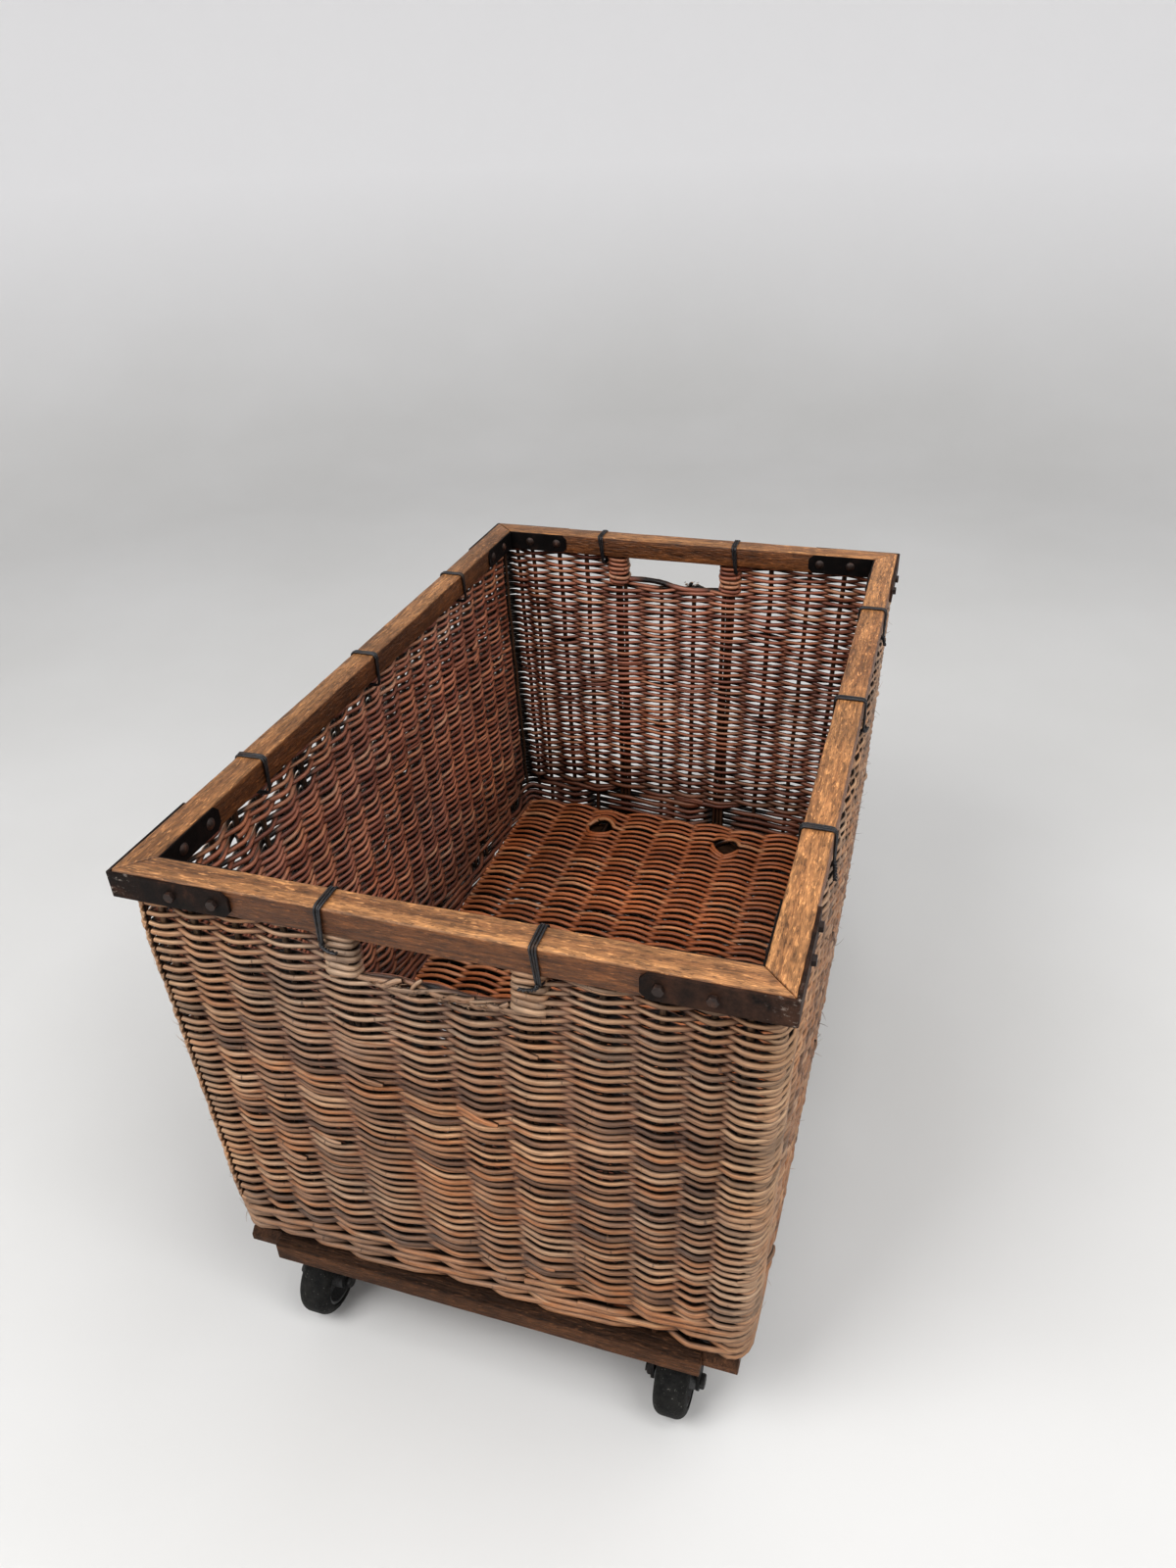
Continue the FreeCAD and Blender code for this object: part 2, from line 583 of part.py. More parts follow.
os.makedirs("parts", exist_ok=True)
for name, shape in basket_parts().items():
    shape.exportStep("parts/" + name + ".step")
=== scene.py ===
import math

import bpy
import numpy as np
from mathutils import Euler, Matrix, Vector, noise


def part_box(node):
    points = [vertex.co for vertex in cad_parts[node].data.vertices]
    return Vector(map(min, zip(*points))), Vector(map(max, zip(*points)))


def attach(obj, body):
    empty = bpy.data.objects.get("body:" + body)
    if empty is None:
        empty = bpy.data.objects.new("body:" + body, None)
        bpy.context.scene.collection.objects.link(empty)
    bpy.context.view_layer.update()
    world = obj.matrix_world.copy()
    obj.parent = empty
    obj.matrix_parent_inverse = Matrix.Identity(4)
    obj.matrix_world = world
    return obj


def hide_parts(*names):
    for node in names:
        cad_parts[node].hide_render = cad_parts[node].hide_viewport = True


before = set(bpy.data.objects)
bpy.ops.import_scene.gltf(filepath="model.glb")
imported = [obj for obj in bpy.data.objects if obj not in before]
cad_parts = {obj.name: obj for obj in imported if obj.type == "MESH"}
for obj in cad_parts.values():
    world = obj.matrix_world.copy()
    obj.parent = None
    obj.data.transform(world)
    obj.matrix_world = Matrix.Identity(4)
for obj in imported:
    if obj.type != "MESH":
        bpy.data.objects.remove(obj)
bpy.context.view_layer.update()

# The wicker basket: willow woven round upright stakes under a wooden rim, on a
# wooden base with casters. Metres. X is the width, Y the length with the front
# at -Y, Z is up.

ENDS = ("front", "back")
SIDES = ("left", "right")

# Places taken from the frame
RIM_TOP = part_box("rim_front")[1].z
BATTEN_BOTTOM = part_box("rim_front")[0].z
BATTEN = RIM_TOP - BATTEN_BOTTOM
RIM_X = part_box("rim_right")[1].x
RIM_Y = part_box("rim_back")[1].y
BASE_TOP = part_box("base_rail_left")[1].z
FLOOR_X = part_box("wicker_floor")[1].x
FLOOR_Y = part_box("wicker_floor")[1].y
HOLE_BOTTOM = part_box("hand_hole_rod_front")[0].z

# The tub's wall, measured to its middle surface
WALL = 0.020
CORNER_RADIUS = 0.018
TOP_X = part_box("wicker_right")[1].x - WALL / 2
TOP_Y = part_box("wicker_right")[1].y - WALL / 2
FOOT_X = FLOOR_X + WALL / 2
FOOT_Y = FLOOR_Y + WALL / 2

# The upright stakes
FRONT_STAKES_X = (-0.251, -0.220, -0.179, -0.133, -0.078, -0.016, 0.031, 0.079, 0.140, 0.186, 0.224, 0.251)
BACK_STAKES_X = (-0.251, -0.228, -0.187, -0.146, -0.096, -0.036, 0.012, 0.061, 0.120, 0.171, 0.217, 0.251)
SIDE_STAKES = 21
SIDE_STAKES_REACH = 0.412
STAKE_RADIUS = 0.0031
END_COUNT = len(FRONT_STAKES_X)
HALF_COUNT = END_COUNT + SIDE_STAKES + 2
STAKE_COUNT = 2 * HALF_COUNT
CORNER_POSTS = (END_COUNT, HALF_COUNT - 1, HALF_COUNT + END_COUNT, STAKE_COUNT - 1)
HOLE_STAKES = (4, 7)

# The weave
PITCH_HEIGHTS = (0.18, 0.215, 0.26, 0.30, 0.48, 0.56)
ROW_PITCHES = (0.0061, 0.0058, 0.0050, 0.0047, 0.0047, 0.0050)
SWING = 0.0062
ROD_BUTT = 0.0028
ROD_TIP = 0.0023
SLIM_END = 0.74
END_LIFT = 0.0013
BEND = 0.2
FOOT_ROWS = 9
FOOT_PITCH = 0.0055
FOOT_SWING = 0.0060
FOOT_ROD = 0.0041

TURN = 2 * math.pi


def sharpen_caps(mesh, first_corner):
    """Keep the rods' round sides smooth right up to their flat ends."""
    corner_edges = np.zeros(len(mesh.loops), np.int32)
    mesh.loops.foreach_get("edge_index", corner_edges)
    sharp = np.zeros(len(mesh.edges), bool)
    sharp[corner_edges[first_corner:]] = True
    mesh.edges.foreach_set("use_edge_sharp", sharp)


def add_object(name, data):
    """A new object in the scene."""
    thing = bpy.data.objects.new(name, data)
    bpy.context.scene.collection.objects.link(thing)
    return thing


class Strands:
    """Gathers round rods into one mesh. Each keeps a length along and a share round it as its UV map,
    a tone of its own, how far each point lies to the outside of the wall, and how openly it lies there,
    which the willow's painted shade reads."""

    def __init__(self):
        self.points, self.tones, self.depths, self.showings = [], [], [], []
        self.quads, self.quad_uvs, self.caps, self.cap_uvs = [], [], [], []
        self.count = 0

    def rod(self, centres, radii, across, tone, start=0.0, sides=8, outward=0.0, shown=None, closed=False,
            part=slice(None)):
        """One rod along its centres. With part, only that stretch of it is kept."""
        centres = np.asarray(centres, float)
        total = len(centres)
        radii = np.broadcast_to(np.asarray(radii, float), (total,))
        across = np.broadcast_to(np.asarray(across, float), (total, 3))
        outward = np.broadcast_to(np.asarray(outward, float), (total,))
        shown = outward if shown is None else shown
        if closed:
            along = np.roll(centres, -1, 0) - np.roll(centres, 1, 0)
        else:
            along = np.gradient(centres, axis=0)
        along = along / np.linalg.norm(along, axis=1, keepdims=True)
        side = across - along * np.sum(along * across, axis=1, keepdims=True)
        side = side / np.linalg.norm(side, axis=1, keepdims=True)
        top = np.cross(along, side)
        angle = TURN * np.arange(sides) / sides
        rising = np.cos(angle)[None, :]
        facing = np.sin(angle)[None, :]
        round_it = rising[..., None] * top[:, None] + facing[..., None] * side[:, None]
        ring = centres[:, None] + radii[:, None, None] * round_it
        depth = outward[:, None] + facing * radii[:, None]
        showing = np.clip(1.9 * shown[:, None] / SWING + 0.5 * np.sign(facing), -1, 1) * facing
        steps = np.linalg.norm(np.diff(centres, axis=0), axis=1)
        length = start + np.concatenate([[0.0], np.cumsum(steps)])
        self.points.append(ring[part].reshape(-1, 3))
        self.depths.append(depth[part].ravel())
        self.showings.append(showing[part].ravel())
        self.tones.append(np.full(len(ring[part]) * sides, tone))
        self.skin(length[part], sides, closed)

    def skin(self, length, sides, closed):
        total = len(length)
        spans = total if closed else total - 1
        here = self.count + np.arange(spans)[:, None] * sides
        there = self.count + (np.arange(1, spans + 1) % total)[:, None] * sides
        j = np.arange(sides)[None, :]
        k = (j + 1) % sides
        self.quads.append(np.stack([here + j, there + j, there + k, here + k], -1).reshape(-1, 4))
        reach = np.append(length, 2 * length[-1] - length[-2])[1:spans + 1, None] + 0.0 * j
        low = length[:spans, None] + 0.0 * j
        share = j / sides + 0.0 * low
        uvs = [low, share, reach, share, reach, share + 1 / sides, low, share + 1 / sides]
        self.quad_uvs.append(np.stack(uvs, -1).reshape(-1, 8))
        if not closed:
            last = self.count + (total - 1) * sides
            self.caps.append([self.count + i for i in range(sides)])
            self.caps.append([last + i for i in reversed(range(sides))])
            self.cap_uvs += [length[0], 0.5] * sides + [length[-1], 0.5] * sides
        self.count += total * sides

    def piece(self, name, material, body="basket"):
        mesh = bpy.data.meshes.new(name)
        quads = np.concatenate(self.quads)
        mesh.from_pydata(np.concatenate(self.points).tolist(), [], quads.tolist() + self.caps)
        uv_map = mesh.uv_layers.new(name="RodMap")
        uvs = np.concatenate([np.concatenate(self.quad_uvs).ravel(), np.array(self.cap_uvs)])
        uv_map.data.foreach_set("uv", uvs.astype(np.float32))
        for label, values in (("tone", self.tones), ("outward", self.depths), ("showing", self.showings)):
            layer = mesh.attributes.new(label, "FLOAT", "POINT")
            layer.data.foreach_set("value", np.concatenate(values).astype(np.float32))
        smooth_faces = np.arange(len(mesh.polygons)) < len(quads)
        mesh.polygons.foreach_set("use_smooth", smooth_faces)
        sharpen_caps(mesh, 4 * len(quads))
        mesh.materials.append(material)
        piece = add_object(name, mesh)
        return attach(piece, body)


# ------------ the tub's wall as a surface

def smooth(low, high, value):
    t = np.clip((value - low) / (high - low), 0, 1)
    return t * t * (3 - 2 * t)


def half_sizes(height):
    """Half the width and length of the wall's middle surface at a height."""
    share = (np.asarray(height) - BASE_TOP) / (BATTEN_BOTTOM - BASE_TOP)
    return FOOT_X + (TOP_X - FOOT_X) * share, FOOT_Y + (TOP_Y - FOOT_Y) * share


MIDDLE_X, MIDDLE_Y = half_sizes((BASE_TOP + BATTEN_BOTTOM) / 2)
END_RUN = 2 * (MIDDLE_X - CORNER_RADIUS)
SIDE_RUN = 2 * (MIDDLE_Y - CORNER_RADIUS)
ARC_RUN = CORNER_RADIUS * math.pi / 2
RUNS = np.array([END_RUN, ARC_RUN, SIDE_RUN, ARC_RUN] * 2)
RUN_STARTS = np.concatenate([[0.0], np.cumsum(RUNS)])
ROUND = RUN_STARTS[-1]


def belly(run, share, height):
    """How far the old walls have been pushed out of flat."""
    rise = (np.asarray(height) - BASE_TOP) / (BATTEN_BOTTOM - BASE_TOP)
    fullness = 0.0035 * smooth(0.0, 0.15, rise) * (1 - smooth(0.90, 1.0, rise))
    upper = np.sin(math.pi * np.clip(rise, 0, 1)) ** 0.8 * (0.45 + 0.55 * rise)
    amount = np.select([run == 0, run == 2, run == 4, run == 6], [0.003, 0.010, 0.002, 0.004], 0.0)
    return fullness + amount * np.sin(math.pi * share) * upper


def on_wall(place, height, out=0.0):
    """Points on the wall and its outward normals, by the run's length round it, a height and an offset."""
    place = np.mod(np.asarray(place, float), ROUND)
    height = np.broadcast_to(np.asarray(height, float), place.shape)
    run = np.clip(np.searchsorted(RUN_STARTS, place, side="right") - 1, 0, 7)
    share = (place - RUN_STARTS[run]) / RUNS[run]
    half_x, half_y = half_sizes(height)
    flat_x = half_x - CORNER_RADIUS
    flat_y = half_y - CORNER_RADIUS
    turned = (run + 1) // 2 * math.pi / 2 - math.pi / 2
    bend = np.where(run % 2 == 1, turned - math.pi / 2 + share * math.pi / 2, turned)
    normal = np.stack([np.cos(bend), np.sin(bend), np.zeros_like(bend)], -1)
    slide = 2 * share - 1
    centre_x = np.select([run == 0, run == 4, (run == 1) | (run == 2) | (run == 3)],
                         [flat_x * slide, -flat_x * slide, flat_x], -flat_x)
    centre_y = np.select([run == 2, run == 6, (run == 3) | (run == 4) | (run == 5)],
                         [flat_y * slide, -flat_y * slide, flat_y], -flat_y)
    reach = CORNER_RADIUS + out + belly(run, share, height)
    points = np.stack([centre_x, centre_y, height], -1) + normal * reach[..., None]
    return points, normal


def stake_places():
    """Where the stakes stand round the tub: front, corner, right side, corner, then back and left alike."""
    sides = np.linspace(-SIDE_STAKES_REACH, SIDE_STAKES_REACH, SIDE_STAKES) + SIDE_RUN / 2
    ends = (np.array(FRONT_STAKES_X) + END_RUN / 2, END_RUN / 2 - np.array(BACK_STAKES_X[::-1]))
    places = []
    for half, end in zip((0, 4), ends):
        places += [RUN_STARTS[half] + end, [RUN_STARTS[half + 1] + ARC_RUN / 2],
                   RUN_STARTS[half + 2] + sides, [RUN_STARTS[half + 3] + ARC_RUN / 2]]
    return np.concatenate(places)


STAKES = stake_places()
BESIDE_POSTS = [post + step for post in CORNER_POSTS for step in (-1, 1)]
FOOT_STAKES = np.delete(STAKES, [stake % STAKE_COUNT for stake in BESIDE_POSTS])

# The four walls as ranges of stakes, cut between the corner posts and the stakes beside them
WALL_STAKES = {
    "front": (-0.5, END_COUNT - 0.5),
    "right": (END_COUNT - 0.5, HALF_COUNT - 0.5),
    "back": (HALF_COUNT - 0.5, HALF_COUNT + END_COUNT - 0.5),
    "left": (HALF_COUNT + END_COUNT - 0.5, STAKE_COUNT - 0.5),
}


def place_at(phases, marks):
    """The place round the tub of phases that count along the marks."""
    count = len(marks)
    turns = np.floor_divide(phases, count)
    line = np.append(marks, marks[0] + ROUND)
    return np.interp(phases - turns * count, np.arange(count + 1), line) + turns * ROUND


def sag(place, height):
    """The slow rise and fall of the rows round an old basket, and where they crowd or part."""
    turn = TURN * np.mod(place, ROUND) / ROUND
    slow = 0.0026 * np.sin(3 * turn + 9 * height) + 0.0016 * np.sin(7 * turn + 1.3 + 14 * height)
    crowding = 0.0010 * np.sin(17 * turn + 61 * height) + 0.0008 * np.sin(29 * turn - 83 * height + 2.0)
    above_foot = smooth(BASE_TOP + 0.03, BASE_TOP + 0.10, height)
    below_rim = 1 - smooth(BATTEN_BOTTOM - 0.05, BATTEN_BOTTOM, height)
    return (slow + crowding) * above_foot * below_rim


# ------------ rods of the walls

def plain_weave(stakes, row):
    """In front of one stake and behind the next, and outside every corner post."""
    out = np.where((stakes + row) % 2 == 0, SWING, -SWING)
    out[np.isin(stakes % STAKE_COUNT, CORNER_POSTS)] = SWING
    return out, np.zeros(len(stakes))


def foot_weave(stakes, row):
    """Outside two stakes and inside the next two, climbing as it goes, so that the rods lie close."""
    step = (stakes + row) % 4
    return np.where(step < 2, FOOT_SWING, -FOOT_SWING), np.where(step % 2 == 0, -0.5, 0.5) * FOOT_PITCH


def phases_along(first, last, over):
    """Phases at a rod's bends and halfway between them, a little past its first and last stakes."""
    steps = np.array([0.0, 0.45 * BEND, BEND, 0.5, 1 - BEND, 1 - 0.45 * BEND])
    phases = (np.arange(first - 1, last + 1)[:, None] + steps).ravel()
    return phases[(phases >= first - over) & (phases <= last + over)]


def crossing(share):
    """How far a rod has crossed from one stake to the next: straight, with a short bend at each stake."""
    near = np.minimum(share, 1 - share)
    step = np.where(near < BEND, near ** 2 / (2 * BEND), near - BEND / 2) / (1 - BEND)
    return np.where(share < 0.5, step, 1 - step)


def rods_round(rng, count, shortest, longest):
    """The first and last stakes of the rods that make one row right round the tub."""
    first = int(rng.integers(count))
    begin = first
    while begin < first + count:
        end = begin + int(rng.integers(shortest, longest))
        if first + count - end < shortest // 2:
            end = first + count
        yield begin, end
        begin = end


# The rods' thickness round the tub, by stakes
THICKNESS_STAKES = (0, END_COUNT, HALF_COUNT - 1, HALF_COUNT + 1, STAKE_COUNT - SIDE_STAKES - 3,
                    STAKE_COUNT - SIDE_STAKES, STAKE_COUNT - 1, STAKE_COUNT)
THICKNESS = (1.07, 1.07, 1.06, 1.08, 1.08, 1.15, 1.15, 1.07)

# The thicker first rows above the foot, by heights, and the thinner last rows under the rim
THICK_HEIGHTS = (0.205, 0.245)
THICK_LOW = 1.28
THIN_ROWS = 6
THIN = 0.86

# Stretches of rod that have broken away near the top of the left wall, by rows from the top and stakes
LOST_RODS = {0: (57.4, 68.6), 1: (60.4, 66.6), 3: (64.4, 68.6), 6: (58.4, 63.6), 7: (65.4, 67.6),
             10: (61.4, 66.6), 14: (63.4, 66.6)}

# How far rods swing round stakes that stand close or wide apart, by the distance between the stakes
SWING_GAPS = (0.030, 0.052)
SWING_CLOSE = 0.80


def wall_runs(phases, row_from_top, at_hole):
    """The stretches of a rod that lie on each wall, with the hand holes left open."""
    turned = np.mod(phases + 0.5, STAKE_COUNT) - 0.5
    lost = LOST_RODS.get(row_from_top)
    for wall, (low, high) in WALL_STAKES.items():
        keep = (turned >= low - 1e-6) & (turned <= high + 1e-6)
        if wall in ENDS and at_hole:
            local = turned - low - 0.5
            keep &= ~((local > HOLE_STAKES[0] + 0.2) & (local < HOLE_STAKES[1] - 0.2))
        if lost:
            keep &= ~((turned > lost[0]) & (turned < lost[1]))
        for part in stretches(keep):
            yield wall, part


def stretches(keep, shortest=3):
    edges = np.flatnonzero(np.diff(np.concatenate([[0], keep.astype(int), [0]])))
    for begin, end in zip(edges[::2], edges[1::2]):
        if end - begin >= shortest:
            yield slice(begin, end)


def closeness(marks):
    """How far rods swing round each stake: less where stakes stand close, but in full round a corner post."""
    gaps = np.diff(np.append(marks, marks[0] + ROUND))
    swings = np.interp((gaps + np.roll(gaps, 1)) / 2, SWING_GAPS, (SWING_CLOSE, 1.0))
    swings[np.isin(marks, STAKES[list(CORNER_POSTS)])] = 1.0
    return swings


def rod_line(pattern, marks, row, height, first, last, rng):
    """A rod's phases, centres, normals and offsets, from butt to tip. It starts lifted and ends let down."""
    phases = phases_along(first, last, 0.50)
    stakes = np.arange(first - 1, last + 2)
    outs, lifts = pattern(stakes, row)
    outs = outs * closeness(marks)[stakes % len(marks)] * rng.uniform(0.94, 1.10, len(stakes))
    lifts = lifts + rng.normal(0, 0.00048, len(stakes))
    before = np.floor(phases).astype(int)
    share = crossing(phases - before)
    index = before - stakes[0]
    out = outs[index] + (outs[index + 1] - outs[index]) * share
    lift = lifts[index] + (lifts[index + 1] - lifts[index]) * share
    started = smooth(first, first + 0.8, phases)
    ending = smooth(last - 0.8, last, phases)
    lift = lift + END_LIFT * (1 - started) - END_LIFT * ending
    place = place_at(phases, marks)
    centres, normals = on_wall(place, height + lift + sag(place, height), out)
    return phases, centres, normals, out


def row_heights():
    """The heights of the rows from the foot to the rim, closest in the middle."""
    heights = [BASE_TOP + FOOT_ROWS * FOOT_PITCH + 0.004]
    while heights[-1] < BATTEN_BOTTOM - 0.006:
        heights.append(heights[-1] + np.interp(heights[-1], PITCH_HEIGHTS, ROW_PITCHES))
    return heights


def weave_walls(wood):
    """The four walls: rows of willow from the foot to the rim."""
    walls = {wall: Strands() for wall in WALL_STAKES}
    heights = row_heights()
    rows = len(heights)
    for row, height in enumerate(heights):
        rng = np.random.default_rng(700 + row)
        at_hole = height > HOLE_BOTTOM + 0.003
        for first, last in rods_round(rng, STAKE_COUNT, 14, 26):
            phases, centres, normals, out = rod_line(plain_weave, STAKES, row, height, first, last, rng)
            share = (phases - first) / (last - first)
            radii = rng.uniform(0.86, 1.12) * (ROD_BUTT + (ROD_TIP - ROD_BUTT) * np.clip(share, 0, 1))
            radii = radii * np.interp(np.mod(phases, STAKE_COUNT), THICKNESS_STAKES, THICKNESS)
            radii = radii * np.interp(height, THICK_HEIGHTS, (THICK_LOW, 1.0))
            fullness = smooth(first, first + 1.0, phases) * (1 - smooth(last - 0.6, last + 0.4, phases))
            radii = radii * (SLIM_END + (1 - SLIM_END) * fullness)
            if rows - row <= THIN_ROWS:
                radii = radii * THIN
            tone = rng.random()
            for wall, part in wall_runs(phases, rows - 1 - row, at_hole):
                walls[wall].rod(centres, radii, normals, tone, 10 * tone, outward=out, part=part)
    cut_ends(walls)
    loose_fibres(walls)
    return {wall: strands.piece(wall + "_wall_weave", wood) for wall, strands in walls.items()}


def wall_of(stake):
    for wall, (low, high) in WALL_STAKES.items():
        if low <= stake <= high:
            return wall


def cut_ends(walls):
    """Short butts that stick out of the weave where a new rod was laid in."""
    rng = np.random.default_rng(91)
    for index in range(34):
        stake = int(rng.integers(STAKE_COUNT))
        if stake in CORNER_POSTS:
            continue
        height = rng.uniform(BASE_TOP + 0.06, HOLE_BOTTOM - 0.02)
        side = 1 if index % 6 else -1
        phases = stake + np.linspace(-0.55, rng.uniform(0.12, 0.35), 8)
        out = side * (0.0005 + 0.0078 * smooth(-0.55, 0.1, phases - stake))
        slope = rng.uniform(-0.006, 0.001)
        centres, normals = on_wall(place_at(phases, STAKES), height + slope * (phases - stake), out)
        radii = rng.uniform(0.0020, 0.0031) * (1 - 0.35 * smooth(0.9, 1.0, np.linspace(0, 1, 8)))
        walls[wall_of(stake)].rod(centres, radii, normals, rng.random(), 3 * index, 10, out)


def loose_fibres(walls):
    """Hair-thin splinters that have lifted off the rods."""
    rng = np.random.default_rng(17)
    for index in range(260):
        stake = int(rng.integers(STAKE_COUNT))
        if index % 3 == 0:
            stake = CORNER_POSTS[index % 4]
        height = rng.uniform(BASE_TOP + 0.01, HOLE_BOTTOM)
        length = rng.uniform(0.004, 0.013)
        share = np.linspace(0, 1, 4)
        place = place_at(stake + rng.uniform(-0.4, 0.4), STAKES) + rng.uniform(-1, 1) * length * share
        out = 0.0080 + length * rng.uniform(0.3, 0.9) * share
        centres = on_wall(place, height + rng.uniform(-0.5, 0.8) * length * share ** 2, out)[0]
        radii = rng.uniform(0.00020, 0.00045) * (1 - 0.8 * share)
        walls[wall_of(stake)].rod(centres, radii, (0, 0.1, 1), rng.random(), index, 4, 0.007)


def weave_foot(wood):
    """The thick rods at the foot of the walls."""
    strands = Strands()
    for row in range(FOOT_ROWS):
        rng = np.random.default_rng(40 + row)
        height = BASE_TOP + FOOT_ROD + 0.0018 + row * FOOT_PITCH
        for first, last in rods_round(rng, len(FOOT_STAKES), 12, 20):
            phases, centres, normals, out = rod_line(foot_weave, FOOT_STAKES, row, height, first, last, rng)
            tone = 0.3 + 0.5 * rng.random()
            radii = FOOT_ROD * rng.uniform(0.9, 1.05) * (1 - 0.12 * (phases - first) / (last - first))
            strands.rod(centres, radii, normals, tone, 10 * tone, outward=out)
    return strands.piece("foot_weave", wood)


# The stakes beside a hand hole stand three together. A corner post is thinner and stands out against its rods
TRIPLE = (-0.0062, 0.0, 0.0062)
POST_OUT = 0.0046
POST_THICKNESS = 0.84


def stand_stakes(wood):
    """The upright stakes inside the weave."""
    pieces = []
    for wall, (low, high) in WALL_STAKES.items():
        strands = Strands()
        rng = np.random.default_rng(len(wall))
        for stake in range(math.ceil(low), math.floor(high) + 1):
            local = stake - math.ceil(low)
            in_hole = wall in ENDS and HOLE_STAKES[0] < local < HOLE_STAKES[1]
            beside_hole = wall in ENDS and local in HOLE_STAKES
            top = HOLE_BOTTOM + 0.003 if in_hole else BATTEN_BOTTOM
            for shift in TRIPLE if beside_hole else (0.0,):
                heights = np.linspace(BASE_TOP + 0.0060, top, 14)
                place = STAKES[stake] + shift + rng.uniform(-0.0010, 0.0010, 14)
                post = stake in CORNER_POSTS
                centres, normals = on_wall(place, heights, POST_OUT if post else 0.0)
                radius = STAKE_RADIUS * (POST_THICKNESS if post else rng.uniform(0.95, 1.15))
                strands.rod(centres, radius, normals, rng.random(), 5 * stake, 6)
        pieces.append(strands.piece(wall + "_wall_stakes", wood))
    return pieces


# ------------ hand holes

# The rods along the lower edge of each hand hole: rises above the edge at even steps across it, and a radius
HOLE_EDGES = {
    "front": (((0.006, 0.005, 0.002, 0.004, 0.000, -0.002, 0.000), 0.0030),
              ((0.001, 0.004, 0.007, 0.002, 0.003, 0.002, -0.003), 0.0026),
              ((-0.003, 0.000, 0.003, 0.006, 0.002, 0.004, 0.003), 0.0024)),
    "back": (((0.001, 0.000, 0.000, 0.001, 0.006, 0.009, 0.008), 0.0040),
             ((-0.004, -0.003, -0.005, -0.003, -0.002, 0.002, 0.000), 0.0028)),
}


def bind_hand_hole(end, wood):
    """Rod wrapped round the three stakes beside a hand hole, and the rods along its lower edge."""
    base = 0 if end == "front" else HALF_COUNT
    strands = Strands()
    rng = np.random.default_rng(len(end) * 7)
    for stake, away in zip(HOLE_STAKES, (-1, 1)):
        middle = STAKES[base + stake] + 0.002 * away
        height = HOLE_BOTTOM + 0.009
        while height < BATTEN_BOTTOM - 0.003:
            around = TURN * np.arange(20) / 20
            wide = 0.0145 * rng.uniform(0.94, 1.05)
            places = middle + wide * np.cos(around) * (1 - 0.12 * np.cos(2 * around))
            out = 0.0100 * np.sin(around) * (1 + 0.15 * np.cos(2 * around))
            lean = 0.0024 * np.sin(around) + rng.uniform(-0.0012, 0.0012) * np.cos(around)
            centres, normals = on_wall(places, height + lean, out)
            outer = centres - centres.mean(0)
            radius = rng.uniform(0.0028, 0.0034)
            strands.rod(centres, radius, outer, rng.random(), height, 8, out, np.full(20, SWING), closed=True)
            height += 0.0070
    phases = base + np.linspace(HOLE_STAKES[0] - 0.25, HOLE_STAKES[1] + 0.25, 34)
    for index, (rises, radius) in enumerate(HOLE_EDGES[end]):
        share = np.linspace(0, len(rises) - 1, len(phases))
        rise = np.interp(share, np.arange(len(rises)), rises)
        rise = np.convolve(np.pad(rise, 2, mode="edge"), np.full(5, 0.2), "valid")
        out = 0.0035 * np.sin(share * 1.9 + 2.1 * index) + 0.0015 * index
        centres, normals = on_wall(place_at(phases, STAKES), HOLE_BOTTOM + 0.002 + rise, out)
        radii = radius * rng.uniform(0.94, 1.06, len(phases))
        strands.rod(centres, radii, normals, 0.2 + 0.6 * rng.random(), index, 10, out)
    fray(strands, end, rng)
    return strands.piece(end + "_hand_hole_binding", wood)


# Broken stubs along each hand hole's lower edge: distance across the end, lean, length and radius
STUBS = {
    "front": ((-0.046, 0.4, 0.020, 0.0030), (-0.030, -0.3, 0.014, 0.0024), (-0.020, 0.9, 0.017, 0.0020),
              (0.014, 0.2, 0.022, 0.0034), (0.030, -0.2, 0.013, 0.0026), (0.047, 0.3, 0.018, 0.0030)),
    "back": ((0.004, 1.2, 0.009, 0.0024), (0.012, 0.2, 0.012, 0.0020)),
}


def fray(strands, end, rng):
    """Broken stubs and torn fibres along the lower edge of a hand hole."""
    start = RUN_STARTS[0 if end == "front" else 4] + END_RUN / 2
    way = 1 if end == "front" else -1
    share = np.linspace(0, 1, 6)
    for x, lean, length, radius in STUBS[end]:
        place = start + way * (x + length * math.cos(lean) * share)
        rise = length * math.sin(lean) * share + 0.0015 * np.sin(5 * share + 40 * x)
        centres, normals = on_wall(place, HOLE_BOTTOM + 0.004 + rise, 0.0045 + 0.0015 * np.sin(4 * share))
        radii = radius * np.array([0.75, 1.0, 1.04, 0.95, 1.0, 0.7])
        strands.rod(centres, radii, normals, 0.45 + 0.4 * rng.random(), 30 * x, 10, 0.006)
        for index in range(9 if end == "front" else 3):
            curl = rng.uniform(-1, 1) * share + 0.5 * np.sin(6 * share + index)
            place = start + way * (x + rng.uniform(-0.4, 1.0) * length + 0.006 * curl)
            rise = rng.uniform(-0.5, 1.0) * 0.008 * share
            out = 0.006 + 0.004 * share * rng.random()
            centres = on_wall(place, HOLE_BOTTOM + 0.004 + rise, out)[0]
            strands.rod(centres, rng.uniform(0.00025, 0.0006), (0, 0.1, 1), 0.8, index, 4, 0.007)


# ------------ floor

